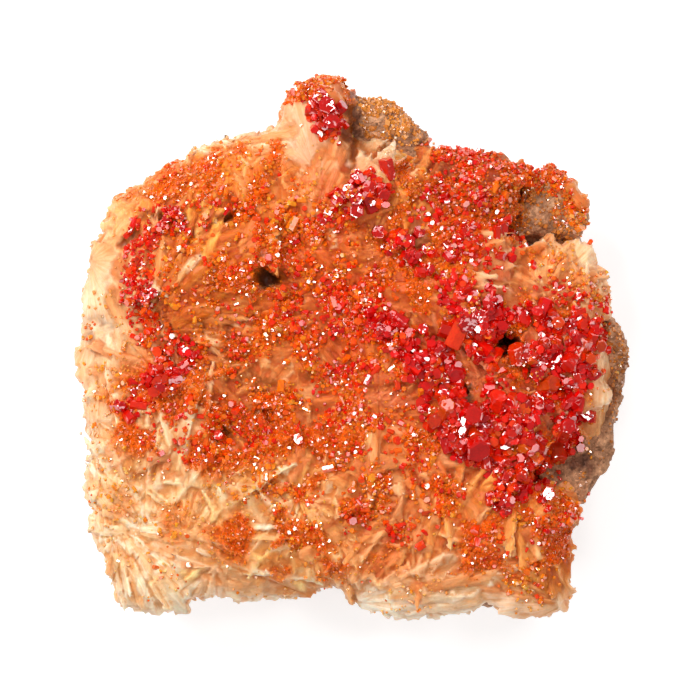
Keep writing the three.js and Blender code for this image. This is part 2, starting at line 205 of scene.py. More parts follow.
# Where the baryte is massive and smooth instead of bladed: place, reach and amount.
SMOOTH_PATCHES = {
    "margin": (-42, 5, 8, 17, 1.0),
    "horn": (-8, 35, 4.5, 8, 1.0),
    "cleft": (0, 29.5, 3, 4, 1.0),
    "bottom": (4, -43.5, 36, 5.5, 0.7),
    "right_band": (39.5, -8, 3.0, 12, 0.5),
}

# Colour of the baryte: place, reach along X and Y, display colour.
BARYTE_PATCHES = {
    "centre": (-2, 9, 18, 13, (0.82, 0.38, 0.09)),
    "centre_low": (5, -11, 14, 10, (0.84, 0.44, 0.15)),
    "top_left": (-22, 27, 13, 6, (0.97, 0.64, 0.25)),
    "rosette": (-24, 10, 10, 9, (0.78, 0.38, 0.02)),
    "rosette_foot": (-25, 0, 7, 4, (0.62, 0.30, 0.05)),
    "west_fan": (-15, -4, 6, 7, (0.95, 0.73, 0.52)),
    "low_pale": (1, -16, 6, 4.5, (0.94, 0.68, 0.46)),
    "west": (-24, -11, 11, 6, (0.74, 0.31, 0.04)),
    "north_sheet": (11, 15.5, 9, 6, (0.93, 0.66, 0.47)),
    "rim_hollow": (19, 27.5, 11, 5.5, (0.60, 0.22, 0.03)),
    "yellow_blades": (8, 29.5, 3, 4, (0.98, 0.72, 0.28)),
    "lower_centre": (-13, -27, 15, 9, (0.96, 0.76, 0.46)),
    "pink_zone": (3, -30, 9, 6, (0.88, 0.56, 0.32)),
    "lower_right": (22, -27, 12, 7, (0.94, 0.62, 0.28)),
    "lower_right_border": (32, -34, 5, 8, (0.76, 0.40, 0.06)),
    "right_fan": (35, 13, 7, 6, (0.98, 0.79, 0.60)),
    "shell": (40, 0, 4, 6, (0.96, 0.78, 0.60)),
    "right_band": (39, -9, 3.5, 11, (0.95, 0.78, 0.61)),
    "field": (25, -6, 11, 12, (0.78, 0.34, 0.17)),
    "margin": (-40, 3, 6.5, 15, (0.96, 0.87, 0.75)),
    "lower_left": (-35, -21, 13, 13, (0.97, 0.88, 0.76)),
    "corner_block": (-37, 21.5, 5, 5, (0.95, 0.70, 0.46)),
    "corner_sheaf": (-33, -35, 14, 11, (0.96, 0.86, 0.74)),
    "top_edge": (-22, 34.5, 11, 3, (0.98, 0.86, 0.74)),
    "horn": (-8, 33, 5, 9, (0.95, 0.73, 0.58)),
    "cleft": (1.5, 29.5, 4, 4, (0.96, 0.80, 0.70)),
    "lump_blades": (5, 32.5, 3.5, 3, (0.97, 0.80, 0.62)),
    "bottom_band": (2, -42.5, 35, 5.5, (0.96, 0.90, 0.83)),
    "stain": (-42, 2.5, 2.5, 3, (0.70, 0.54, 0.43)),
}
BARYTE_BASE = (0.86, 0.50, 0.24)
COLOUR_WINDING = 1.6  # how far the borders between the colours wander
BLADE_TIP = (0.98, 0.86, 0.74)
BLADE_ROOT_GAIN = np.array((0.97, 0.89, 0.78))  # darkens each blade towards its root
RUST = (0.88, 0.35, 0.03)  # the stain under the orange dust
SIDE_COLOUR = (0.97, 0.79, 0.65)  # on the crust's sides
FOOT_STAIN = (0.68, 0.46, 0.30)  # on its sides, towards the rock
FOOT_HEIGHT = 13.5  # height above the table below which that stain sets in
STAINED_LINES = (0.97, 0.82, 0.66)  # gains of the fine lines along the blades
CLEAR_LINES = (1.02, 1.03, 1.03)

LATH_BREADTH = 1.7  # across the broad laths of a fan
LATH_LENGTH = 11.0
LATH_SEED = 3
LATHS_LOST = 0.8  # share of the laths' relief that is lost where the baryte is massive
# a crevice this deep has its full amber colour, part stain and part painted shade
CREVICE = 0.12 * MM  # depth at which a crevice has its full colour
FINE_BLADES = (-24, 10, 11, 10)  # the amber rosette: place and reach of its finer blades
FINE_BLADES_SIZE = 0.5
BLADE_SHAPES = ((-0.3, 0.5), (-0.1, -0.4), (0.1, 0.6), (0.3, -0.5))  # bend and slant of the cut
BLADE_HOLLOW = 0.2  # blades keep off hollows deeper than this
SAME_DISTANCE = 0.0001 * MM  # surfaces whose distances differ by less than this are equally near

# Where the crust stays bare of crystals: place, reach and share of them missing.
BARE_PATCHES = {
    "right_band": (40.4, -8.0, 2.4, 12.0, 0.9),
    "horn_foot": (-8.8, 32.0, 3.2, 4.5, 0.9),
    "cleft_blades": (2.5, 31.0, 3.5, 3.0, 0.9),
    "top_edge": (-23.0, 34.5, 9.0, 1.8, 0.9),
    "west_fan": (-14.5, -2.5, 5.0, 5.0, 0.65),
    "low_centre": (1.0, -16.0, 6.0, 4.5, 0.6),
    "north_sheet": (10.0, 15.5, 4.5, 4.0, 0.65),
}

# Orange dust of the smallest crystals: place, reach and crystals per square millimetre.
DUST_PATCHES = {
    "centre": (-6, 7, 20, 16, 4.5),
    "top_left": (-22, 26, 14, 8, 2.6),
    "west": (-24, -10, 15, 9, 5.0),
    "low_centre": (4, -18, 17, 11, 4.0),
    "lower": (-8, -29, 15, 8, 3.0),
    "low_right": (27, -30, 12, 8, 3.5),
    "east": (26, -4, 13, 16, 4.0),
    "north": (14, 20, 16, 10, 4.5),
    "rim": (22, 28.5, 15, 4.5, 6.5),
    "vug_rim": (36, 24.5, 5, 5, 6.0),
    "top_edge": (-20, 32, 11, 4, 3.0),
    "horn_tip": (-6, 42.5, 7, 2.2, 7.0),
    "horn_right": (-1.5, 38, 1.5, 5, 4.0),
    "margin": (-39, 0, 5, 18, 0.6),
    "lower_left": (-32, -26, 10, 11, 0.9),
    "bottom": (0, -40, 34, 4, 0.5),
    "right_fan": (35, 12, 6, 6, 1.0),
    "right_band": (39, -8, 3, 12, 1.0),
    "corner": (-36, 21, 6, 6, 1.8),
}

DUST_STARTS = 0.6  # crystals per square millimetre where the dust begins to stain the crust
DUST_CLOSES = 2.6  # how many more it takes to close
DUST_SIZES = (0.22, 0.62)

# Where small vanadinite crystals are strewn: a line to follow, half width, crystals per square millimetre,
# middle size, and redness from 0, orange, to 1, deep red.
VANADINITE_BANDS = {
    "rim": ([(11.5, 33.5), (20.5, 30), (28.5, 28.5), (35, 26)], 2.0, 4.0, 0.5, 0.6),
    "rim_hollow": ([(12.5, 27.5), (24, 25.5)], 2.5, 3.0, 0.5, 0.6),
    "vug_edge": ([(35.5, 26), (37, 20.5), (38.5, 16.5)], 1.3, 3.0, 0.5, 0.35),
    "crest": ([(-3, 22.5), (4, 26.5)], 2.3, 3.5, 0.9, 0.9),
    "horn_tip": ([(-10.5, 41.5), (-1.5, 43)], 1.6, 3.2, 0.5, 0.5),
    "horn_red": ([(-5.5, 39), (-3, 35)], 2.0, 3.0, 0.8, 0.9),
    "clump": ([(6.5, 18), (11.5, 14.5), (15.5, 13)], 2.3, 2.5, 0.8, 0.9),
    "north": ([(14, 22), (24, 14.5)], 4.9, 1.8, 0.65, 0.8),
    "main": ([(17, 8), (24, 1)], 3.7, 3.2, 0.9, 0.88),
    "centre_east": ([(5, 5), (7.5, 1)], 2.3, 3.5, 0.8, 0.95),
    "west": ([(10, 1), (14.5, -4.5)], 2.9, 3.6, 0.9, 1.0),
    "east": ([(27, 3), (37.5, 1), (33.5, -3.5)], 4.2, 2.8, 0.9, 0.92),
    "middle": ([(14, -8.5), (20.5, -15.5)], 3.4, 3.0, 0.9, 0.95),
    "south_east": ([(24, -8), (35, -14)], 4.4, 2.8, 0.85, 0.9),
    "south": ([(24, -16.5), (30.5, -21.5)], 3.3, 3.0, 0.8, 0.9),
    "ball": ([(24.5, -23.5)], 2.3, 3.2, 0.7, 0.95),
    "low_right": ([(20.5, -32.5), (31, -28), (37, -24.5)], 2.6, 2.0, 0.55, 0.5),
    "low_right_edge": ([(24, -36), (33.5, -39)], 2.3, 1.4, 0.5, 0.2),
    "centre": ([(-9, 8), (2.5, 3)], 8.2, 2.0, 0.6, 0.55),
    "centre_north": ([(-20, 19.5), (-0.5, 14.5)], 6.5, 1.8, 0.55, 0.45),
    "west_arc": ([(-22.5, 22), (-33.5, 20.5), (-35, 9.5), (-33.5, 3), (-29, 0)], 2.3, 4.5, 0.52, 0.72),
    "rosette": ([(-25, 9.5)], 7.3, 1.2, 0.5, 0.35),
    "streak": ([(-36, -8.5), (-26.5, -0.5)], 2.3, 3.4, 0.75, 0.9),
    "west_patch": ([(-31.5, -13), (-17, -13)], 4.2, 2.2, 0.55, 0.55),
    "top_left": ([(-30, 28.5), (-10.5, 24.5)], 4.6, 0.6, 0.5, 0.35),
    "top_edge": ([(-28.5, 30), (-9, 33.5)], 2.0, 0.7, 0.45, 0.3),
    "centre_low": ([(-4, -8), (11, -11.5)], 7.3, 1.6, 0.55, 0.5),
    "low_centre": ([(-2.5, -21.5), (14, -24.5)], 6.5, 1.5, 0.55, 0.5),
    "lower": ([(-18.5, -19.5), (-4, -31)], 4.9, 0.8, 0.45, 0.35),
    "margin": ([(-40, 8), (-40, -13)], 4.2, 0.18, 0.45, 0.1),
    "lower_left": ([(-38, -19.5), (-28.5, -34.5)], 6.5, 0.25, 0.4, 0.1),
    "bottom": ([(-20, -39), (30.5, -41)], 2.3, 0.15, 0.4, 0.1),
    "right_fan": ([(33.5, 14.5), (38.5, 9.5)], 3.6, 0.9, 0.45, 0.15),
    "right_band": ([(40, 3), (37.5, -19.5)], 2.0, 0.6, 0.4, 0.2),
    "right_turn": ([(30.5, 9.5), (40, 5)], 2.9, 1.8, 0.6, 0.7),
    "west_centre": ([(-16, 3), (-9, -8)], 5.7, 1.5, 0.5, 0.45),
}
VANADINITE_SCALE = [
    (0.95, 0.60, 0.16),
    (0.93, 0.46, 0.06),
    (0.91, 0.31, 0.02),
    (0.88, 0.14, 0.01),
    (0.83, 0.02, 0.01),
]
BAND_SPREAD = 1.25  # bands reach past their half width by this much
RED_CLUMPS = 0.7  # bands at least this red gather in smaller clumps of their own
MEDIUM_REDNESS = 0.8  # bands at least this red also carry crystals of medium size
MEDIUM_SHARE = 0.14
LARGE_REDNESS = 0.95
SMALLEST_END = 1.2 * MM * MM  # end faces of large crystals smaller than this stay plain

# Where golden-brown druse grows on the bare rock, with the same columns; the last runs from golden to brown.
GOLD_BANDS = {
    "lump": ([(3.5, 39), (8.5, 37)], 4.0, 12.0, 0.42, 0.12),
    "cleft": ([(0, 41), (-0.5, 31)], 1.0, 3.0, 0.35, 0.7),
    "vug": ([(32, 22)], 5.0, 5.0, 0.42, 0.4),
    "flank": ([(42.5, 4), (43.5, -6), (42, -14), (38, -22)], 1.8, 4.0, 0.38, 0.5),
}
GOLD_SCALE = [(0.88, 0.56, 0.20), (0.78, 0.46, 0.16), (0.64, 0.39, 0.20), (0.52, 0.33, 0.22)]

ROCK_LIGHT = (0.80, 0.58, 0.42)
ROCK_DARK = (0.54, 0.35, 0.23)

# Shapes of strewn crystals, as parts of their width: height, chamfer, and number of sides.
DUST_SHAPES = ((0.6, 0, 4), (0.9, 0, 4), (0.7, 0, 6))
SMALL_SHAPES = ((0.6, 0, 6), (1.0, 0, 6), (1.6, 0, 6))
MEDIUM_SHAPES = ((0.6, 0.06, 6), (1.1, 0.06, 6), (1.8, 0.06, 6))
GOLD_SHAPES = ((0.8, 0, 4), (0.7, 0, 6))


# ---------------------------------------------------------------- numbers


def linear(display):
    """Display colours as the linear values that shaders use."""
    display = np.asarray(display, dtype=float)
    return np.where(display <= 0.04045, display / 12.92, ((display + 0.055) / 1.055) ** 2.4)


def displayed(colour):
    """Linear values as display colours."""
    curved = 1.055 * np.maximum(colour, 1e-9) ** (1 / 2.4) - 0.055
    return np.where(colour <= 0.0031308, colour * 12.92, curved)


def hashed(cells, seed):
    """A steady value from -1 to 1 for each whole-number cell."""
    x, y, z = cells.T
    mixed = x * 73856093 ^ y * 19349663 ^ z * 83492791 ^ (seed * 1299721 + 17)
    mixed = ((mixed ^ (mixed >> 13)) * 1274126177) & 0xFFFFFFFF
    return ((mixed ^ (mixed >> 16)) & 0xFFFF) / 32767.5 - 1.0


def lattice_noise(points, seed=0):
    """Smooth noise from -1 to 1, one cell to the unit."""
    cells = np.floor(points).astype(np.int64)
    part = points - cells
    part = part * part * (3.0 - 2.0 * part)
    total = np.zeros(len(points))
    for corner in np.ndindex(2, 2, 2):
        weights = np.where(corner, part, 1.0 - part).prod(axis=1)
        total += weights * hashed(cells + np.array(corner), seed)
    return total


def fractal_noise(points, octaves, seed=0):
    """Smooth noise with finer and weaker noise added for each further octave."""
    return sum(lattice_noise(points * 2**k, seed + k) / 2**k for k in range(octaves))


def plan_noise(plan, scale, seed, octaves=1, level=0.0):
    """Noise over plan points, so many cells to the millimetre."""
    return fractal_noise(np.c_[plan * scale, np.full(len(plan), level)], octaves, seed)


def wandering(plan, scale, seed):
    """A shift each way for plan points, from -1 to 1, that makes borders between areas wind."""
    return np.stack([plan_noise(plan, scale, seed + k, level=float(k)) for k in range(2)], axis=1)


def broken_facets(points, seed=0):
    """Offsets that break a surface into flat facets, about one to each unit cell, leaning every way."""
    cells = np.floor(points).astype(np.int64)
    nearest = np.full(len(points), np.inf)
    offset = np.zeros(len(points))
    for shift in np.ndindex(3, 3, 3):
        cell = cells + np.array(shift) - 1
        centre = cell + 0.5 + 0.5 * np.stack([hashed(cell, seed + k) for k in range(3)], axis=1)
        lean = np.stack([hashed(cell, seed + 3 + k) for k in range(3)], axis=1)
        gap = points - centre
        away = (gap**2).sum(axis=1)
        closer = away < nearest
        nearest = np.where(closer, away, nearest)
        offset = np.where(closer, (gap * lean).sum(axis=1), offset)
    return offset


def patch_weight(plan, x, y, reach_x, reach_y, power=3.0):
    """1 in the middle of a patch, fading to 0 past its reach."""
    away = np.sqrt(((plan[:, 0] - x) / reach_x) ** 2 + ((plan[:, 1] - y) / reach_y) ** 2)
    return np.exp(-(away**power))


def strongest(patches, plan, power=3.0):
    """At each plan point, the greatest amount that any of the patches gives."""
    amount = np.zeros(len(plan))
    for *area, most in patches.values():
        amount = np.maximum(amount, most * patch_weight(plan, *area, power))
    return amount


def blended(first, second, amount):
    """Two colours mixed, with the amount as the second one's share."""
    return first * (1 - amount) + np.asarray(second) * amount


def unit(vectors):
    return vectors / np.maximum(np.linalg.norm(vectors, axis=-1, keepdims=True), 1e-12)


def headings(angle):
    return np.stack([np.cos(angle), np.sin(angle)], axis=1)


def axes_about(along, spin):
    """Turns that carry Z onto each direction, after a spin about Z."""
    helper = np.where(np.abs(along[:, 2:3]) < 0.9, [0.0, 0.0, 1.0], [1.0, 0.0, 0.0])
    side = unit(np.cross(helper, along))
    up = np.cross(along, side)
    cos, sin = np.cos(spin)[:, None], np.sin(spin)[:, None]
    return np.stack([side * cos + up * sin, up * cos - side * sin, along], axis=2)


# ---------------------------------------------------------------- meshes


def template(bm):
    """A small shape's points and faces, ready to be repeated."""
    bmesh.ops.recalc_face_normals(bm, faces=bm.faces)
    bm.verts.index_update()
    points = np.array([v.co for v in bm.verts])
    faces = [[v.index for v in f.verts] for f in bm.faces]
    bm.free()
    return points, faces


def repeated(name, batches):
    """One mesh with a copy of a template for each turn and place.

    A batch is a template, turns, places and a tint for each copy, or for each point of each copy.
    """
    coordinates, loops, totals, colours = [], [], [], []
    first = 0
    for (points, faces), turns, places, tints in batches:
        copies = len(places)
        world = np.einsum("kij,nj->kni", turns, points) + places[:, None, :]
        starts = first + len(points) * np.arange(copies)[:, None]
        coordinates.append(world.reshape(-1, 3))
        loops.append((np.concatenate(faces)[None, :] + starts).ravel())
        totals.append(np.tile([len(face) for face in faces], copies))
        each_point = tints.ndim == 3
        colours.append(tints.reshape(-1, 3) if each_point else np.repeat(tints, len(points), axis=0))
        first += copies * len(points)
    loops, totals = np.concatenate(loops), np.concatenate(totals)
    mesh = bpy.data.meshes.new(name)
    mesh.vertices.add(first)
    mesh.vertices.foreach_set("co", np.concatenate(coordinates).ravel())
    mesh.loops.add(len(loops))
    mesh.loops.foreach_set("vertex_index", loops)
    mesh.polygons.add(len(totals))
    mesh.polygons.foreach_set("loop_start", np.concatenate([[0], np.cumsum(totals)[:-1]]))
    mesh.update(calc_edges=True)
    mesh.shade_flat()
    paint(mesh, np.concatenate(colours))
    return mesh


def paint(mesh, display_colours):
    """Writes a display colour for every point as the mesh's tint."""
    layer = mesh.color_attributes.new("tint", "FLOAT_COLOR", "POINT")
    rgba = np.ones((len(mesh.vertices), 4))
    rgba[:, :3] = linear(np.clip(display_colours, 0.0, 1.0))
    layer.data.foreach_set("color", rgba.ravel())


def rows_of(collection, key, width, kind=float):
    """Values read from a mesh, one row for each of its points or faces."""
    values = np.empty(len(collection) * width, dtype=kind)
    collection.foreach_get(key, values)
    return values.reshape(-1, width)


def points_of(mesh):
    return rows_of(mesh.vertices, "co", 3)


def normals_of(mesh):
    return rows_of(mesh.vertex_normals, "vector", 3)


def triangles_of(mesh):
    mesh.calc_loop_triangles()
    return rows_of(mesh.loop_triangles, "vertices", 3, np.int32)


def tints_of(mesh):
    """The mesh's tint at its points as display colours."""
    return displayed(rows_of(mesh.color_attributes["tint"].data, "color", 4)[:, :3])


def surface_of(mesh):
    """Points, normals, plan points in millimetres, and how far each faces up, from 0, a side, to 1."""
    points, normals = points_of(mesh), normals_of(mesh)
    return points, normals, points[:, :2] / MM, np.clip(normals[:, 2] * 1.6, 0, 1)


def place_piece(name, mesh, material, nodes=()):
    """Puts a finished mesh in the scene as a piece that stands for some of the frame's nodes."""
    piece = bpy.data.objects.new(name, mesh)
    bpy.context.scene.collection.objects.link(piece)
    mesh.materials.clear()
    mesh.materials.append(material)
    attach(piece, "root")
    if nodes:
        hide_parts(*nodes)


def merged_copy(names):
    """The meshes of some of the frame's nodes as one."""
    bm = bmesh.new()
    for name in names:
        bm.from_mesh(frame["nodes"][name].data)
    bmesh.ops.remove_doubles(bm, verts=bm.verts, dist=1e-6)
    return bm


def meshed(name, bm):
    """A mesh of what operators have worked on."""
    mesh = bpy.data.meshes.new(name)
    bm.to_mesh(mesh)
    bm.free()
    return mesh


def opened(mesh):
    """Turns a mesh back into one that operators can work on, and removes the mesh."""
    bm = bmesh.new()
    bm.from_mesh(mesh)
    bpy.data.meshes.remove(mesh)
    return bm


def modified(mesh, kind, **settings):
    """The mesh with one modifier applied, under the same name."""
    name = mesh.name
    shape = bpy.data.objects.new(name, mesh)
    bpy.context.scene.collection.objects.link(shape)
    modifier = shape.modifiers.new(kind, kind)
    for key, value in settings.items():
        setattr(modifier, key, value)
    depsgraph = bpy.context.evaluated_depsgraph_get()
    made = bpy.data.meshes.new_from_object(shape.evaluated_get(depsgraph))
    bpy.data.objects.remove(shape)
    bpy.data.meshes.remove(mesh)
    made.name = name
    return made


def skinned(name, bm, voxel):
    """A closed skin of even faces over everything in a mesh."""
    return modified(meshed(name, bm), "REMESH", mode="VOXEL", voxel_size=voxel)


def thinned(mesh, most):
    """The mesh with its flatter parts simplified until it has at most so many triangles."""
    return modified(mesh, "DECIMATE", ratio=min(1.0, most / len(triangles_of(mesh))))


def smoothed(bm, times):
    axes = dict(use_axis_x=True, use_axis_y=True, use_axis_z=True)
    for _ in range(times):
        bmesh.ops.smooth_vert(bm, verts=bm.verts, factor=0.5, **axes)
    return bm


def chamfered(bm, edges, width):
    how = dict(segments=1, profile=0.5, affect="EDGES", material=-1, clamp_overlap=True)
    bmesh.ops.bevel(bm, geom=edges, offset=width, **how)


def moved(mesh, points):
    mesh.vertices.foreach_set("co", points.ravel())
    mesh.update()


def add_swells(bm, swells):
    for x, y, z, half_x, half_y, half_z, turn in swells.values():
        place = Matrix.Translation(Vector((x, y, z)) * MM) @ Matrix.Rotation(math.radians(turn), 4, "Z")
        size = Matrix.Diagonal((half_x * MM, half_y * MM, half_z * MM, 1.0))
        bmesh.ops.create_icosphere(bm, subdivisions=3, radius=1.0, matrix=place @ size)


def surface_tree(*meshes):
    """The surfaces of finished meshes, for rays from above."""
    points, faces = [], []
    shift = 0
    for mesh in meshes:
        points.append(points_of(mesh))
        faces.append(triangles_of(mesh) + shift)
        shift += len(mesh.vertices)
    return BVHTree.FromPolygons(np.concatenate(points).tolist(), np.concatenate(faces).tolist())


def seats(tree, plan):
    """Where rays straight down on plan points meet the surface: places, normals and a hit mask."""
    places = np.zeros((len(plan), 3))
    normals = np.zeros((len(plan), 3))
    hit = np.zeros(len(plan), dtype=bool)
    down = Vector((0, 0, -1))
    for i, (x, y) in enumerate(plan * MM):
        place, normal, _, _ = tree.ray_cast(Vector((x, y, SKY)), down)
        if place is not None:
            places[i], normals[i], hit[i] = place, normal, True
    return places, normals, hit


# ---------------------------------------------------------------- what lies where on the plan


def fan_arrays():
    """Focus, bearing in radians and reach of every fan."""
    table = np.array(list(FANS.values()), dtype=float)
    return table[:, :2], np.radians(table[:, 2]), table[:, 3]


def fibre_coordinates(plan):
    """For each plan point: arc across the blades, distance along them, and its fan's place in the noise."""
    focus, bearing, reach = fan_arrays()
    middle = focus + headings(bearing) * reach[:, None] * FAN_MIDDLE
    warp = FAN_WINDING * wandering(plan, scale=0.22, seed=40)
    away = np.linalg.norm(plan[:, None, :] + warp[:, None, :] - middle[None], axis=2) / reach[None]
    owner = away.argmin(axis=1)
    offset = plan - focus[owner]
    distance = np.linalg.norm(offset, axis=1)
    angle = np.arctan2(offset[:, 1], offset[:, 0]) - bearing[owner]
    angle = (angle + math.pi) % (2 * math.pi) - math.pi
    across = angle * reach[owner] * 0.6
    return np.stack([across, distance, owner * FAN_STRIDE], axis=1)


def fan_of(fibres):
    return np.rint(fibres[:, 2] / FAN_STRIDE).astype(int)


def laths(fibres, breadth, length, seed):
    """Laths side by side in fibre coordinates: height and shade, from -1 to 1, of each point's lath."""
    across = fibres[:, 0] / breadth + 0.5 * lattice_noise(fibres * [0.3, 0.1, 1.0], seed)
    row = np.floor(across)
    fan = np.rint(fibres[:, 2])
    rows = np.stack([row, fan, 0 * row], axis=1).astype(np.int64)
    slant = (across - row - 0.5) * hashed(rows, seed + 5) * 0.35
    along = fibres[:, 1] / length + 0.5 * hashed(rows, seed + 6) + slant
    piece = np.floor(along)
    cells = np.stack([row, fan, piece], axis=1).astype(np.int64)
    lean = 0.9 * (across - row - 0.5) * hashed(cells, seed + 2)
    height = hashed(cells, seed + 1) + lean + 0.8 * (along - piece - 0.5)
    edge = np.minimum(across - row, row + 1 - across)
    groove = 0.6 * np.exp(-((edge / 0.09) ** 2))
    return height - groove, hashed(cells, seed + 3)


def baryte_tint(plan):
    """Display colour of the baryte at plan points."""
    tint = np.tile(np.array(BARYTE_BASE), (len(plan), 1))
    warped = plan + COLOUR_WINDING * wandering(plan, scale=0.3, seed=60)
    for *area, colour in BARYTE_PATCHES.values():
        tint = blended(tint, colour, patch_weight(warped, *area)[:, None])
    return tint


def paler(tint, amount):
    """The tint taken towards the clear tips of the blades, less where the baryte is stained."""
    return tint + amount * np.clip(tint[..., 2:3] / 0.4, 0.2, 1) * (np.array(BLADE_TIP) - tint)


def smoothness(plan):
    """How massive the baryte is at plan points, from 0, bladed, to 1."""
    return strongest(SMOOTH_PATCHES, plan)


def bareness(plan):
    """How bare of crystals the crust is kept at plan points, from 0 to 1."""
    return strongest(BARE_PATCHES, plan)


def druse_clumps(plan):
    """How the druse gathers at plan points, about -1 to 1."""
    return plan_noise(plan, scale=0.27, seed=91, octaves=3)


def dust_density(plan):
    """Crystals of orange dust per square millimetre at plan points, gathered in clumps."""
    gathered = np.clip(0.7 + 2.6 * druse_clumps(plan), 0.06, 1.8)
    return strongest(DUST_PATCHES, plan, power=4.0) * gathered * (1 - bareness(plan))


def dustiness(plan):
    """How far the orange dust closes into a crust at plan points, from 0 to 1."""
    return np.clip((dust_density(plan) - DUST_STARTS) / DUST_CLOSES, 0, 1)


def rusted(tint, plan):
    """The tint stained with rust under the orange dust."""
    gain = 1 + 0.12 * plan_noise(plan, scale=1.1, seed=97, octaves=2)[:, None]
    gain = gain * np.clip(tint[:, :1] / BARYTE_BASE[0], 0.8, 1.0)
    return blended(tint, np.array(RUST) * gain, 0.92 * dustiness(plan)[:, None])


def hollow_depth(plan):
    """Depth in millimetres of the holes and crevices at plan points."""
    depth = np.zeros(len(plan))
    wobble = 0.7 * plan_noise(plan, scale=0.7, seed=71)
    wobble += 0.35 * plan_noise(plan, scale=1.8, seed=72)
    for x, y, half_x, half_y, turn, deep in HOLLOWS.values():
        cos, sin = math.cos(math.radians(turn)), math.sin(math.radians(turn))
        gap_x, gap_y = plan[:, 0] - x, plan[:, 1] - y
        along, across = gap_x * cos + gap_y * sin, gap_y * cos - gap_x * sin
        away = np.sqrt((along / half_x) ** 2 + (across / half_y) ** 2) + wobble
        depth = np.maximum(depth, deep * np.clip(1.6 * (1 - away), 0, 1))
    return depth


# ---------------------------------------------------------------- baryte


def grown_body(settings):
    """The growths of the crust as one closed body, with the seams between them healed over."""
    bm = merged_copy(BARYTE_NODES)
    add_swells(bm, BARYTE_SWELLS)
    for name, way in (("crust_healing", 1), ("crust_healed", -1)):
        mesh = skinned(name, bm, settings.heal_voxel)
        moved(mesh, points_of(mesh) + way * normals_of(mesh) * settings.heal_reach)
        bm = opened(mesh)
    return smoothed(bm, 2)


def stepped_body(settings):
    """The body of the crust, stepped from fan to fan and broken at its rim."""
    mesh = skinned("crust_stepped", grown_body(settings), settings.heal_voxel)
    points, _, plan, upward = surface_of(mesh)
    fibres = fibre_coordinates(plan)
    reach = fan_arrays()[2][fan_of(fibres)]
    rise = (1 - smoothness(plan)) * settings.fan_rise * (np.clip(fibres[:, 1] / reach, 0, 1.1) - 0.5)
    points[:, 2] += upward * (rise - hollow_depth(plan) * MM)
    moved(mesh, points)
    mesh = skinned("crust_body", smoothed(opened(mesh), 1), settings.body_voxel)
    points, normals, plan, upward = surface_of(mesh)
    bladed = 1 - LATHS_LOST * smoothness(plan)
    broken = broken_facets(points / MM * [0.27, 0.27, 0.14], 5)
    broken = broken + 0.4 * broken_facets(points / MM * [0.8, 0.8, 0.4], 6)
    lift = settings.lump_depth * fractal_noise(points / MM * 0.22, 3, 7)
    lift += settings.broken_depth * broken * (1 - 0.7 * upward) * (0.4 + 0.6 * bladed)
    moved(mesh, points + normals * (lift - settings.shrink)[:, None])
    return mesh


def raise_laths(mesh, settings):
    """Raises broad and fine laths on top of the crust, and breaks its sides."""
    points, normals, plan, upward = surface_of(mesh)
    fibres = fibre_coordinates(plan)
    broad, _ = laths(fibres, LATH_BREADTH, LATH_LENGTH, LATH_SEED)
    fine, _ = laths(fibres, 0.35 * LATH_BREADTH, 0.7 * LATH_LENGTH, LATH_SEED + 10)
    steps = settings.lath_depth * broad + 0.3 * settings.lath_depth * fine
    points[:, 2] += upward * (1 - LATHS_LOST * smoothness(plan)) * steps
    broken = broken_facets(points / MM * [0.7, 0.7, 0.3], 15)
    moved(mesh, points + normals * (0.45 * settings.broken_depth * broken * (1 - upward))[:, None])


def lath_tints(plan, fibres):
    """Colour of the crust, paler on some of its laths and more amber on others."""
    _, shade = laths(fibres, LATH_BREADTH, LATH_LENGTH, LATH_SEED)
    shade = (shade * (1 - LATHS_LOST * smoothness(plan)))[:, None]
    tint = paler(baryte_tint(plan), 0.8 * np.clip(shade - 0.1, 0, 1))
    return tint * (1 - np.clip(-0.4 - shade, 0, 1) * [0.15, 0.35, 0.6])


def crevice_stain_shade_and_highlights(tint, plan, sunk):
    """The tint made amber in the crevices between blades, partly an orange stain and partly painted shade, and a
    little lighter along their raised edges as a painted highlight.
    """
    amber = np.clip(sunk / CREVICE, 0, 1) * (1 - 0.6 * smoothness(plan))[:, None]
    # painted shade with an amber stain: darker the further a point lies below the softened surface
    tint = tint * (1 - amber * [0.05, 0.18, 0.34])
    # painted highlight: points standing above the softened surface are made lighter
    return tint * (1 + 0.04 * np.clip(-sunk / CREVICE, 0, 1))


def side_tints(tint, points, upward):
    """The tint made plainer on the sides of the crust, and brown towards the rock."""
    side = (1 - upward)[:, None]
    tint = blended(tint, SIDE_COLOUR, side * 0.7)
    blotches = 0.35 * fractal_noise(points / MM * [0.4, 0.4, 0.2], 3, 99)
    foot = np.clip((FOOT_HEIGHT - points[:, 2] / MM) / 4.0 + blotches, 0, 0.85)[:, None] * side
    return blended(tint, FOOT_STAIN, foot)


def hollow_stain_and_shade_tints(tint, plan):
    """The tint made rusty in the hollows as a stain, and darker brown deep inside them as painted shade."""
    depth = hollow_depth(plan)[:, None]
    # painted shade: the deeper the hollow, the darker the brown
    for colour, start in HOLLOW_STAINS_AND_SHADE:
        tint = blended(tint, colour, np.clip((depth - start) / 1.4, 0, 1))
    return tint


def crevice_depth(mesh, points, normals):
    """How far each point lies below the softened surface around it, in metres."""
    bm = bmesh.new()
    bm.from_mesh(mesh)
    soft = np.array([vert.co for vert in smoothed(bm, 10).verts])
    bm.free()
    return np.einsum("ij,ij->i", soft - points, normals)


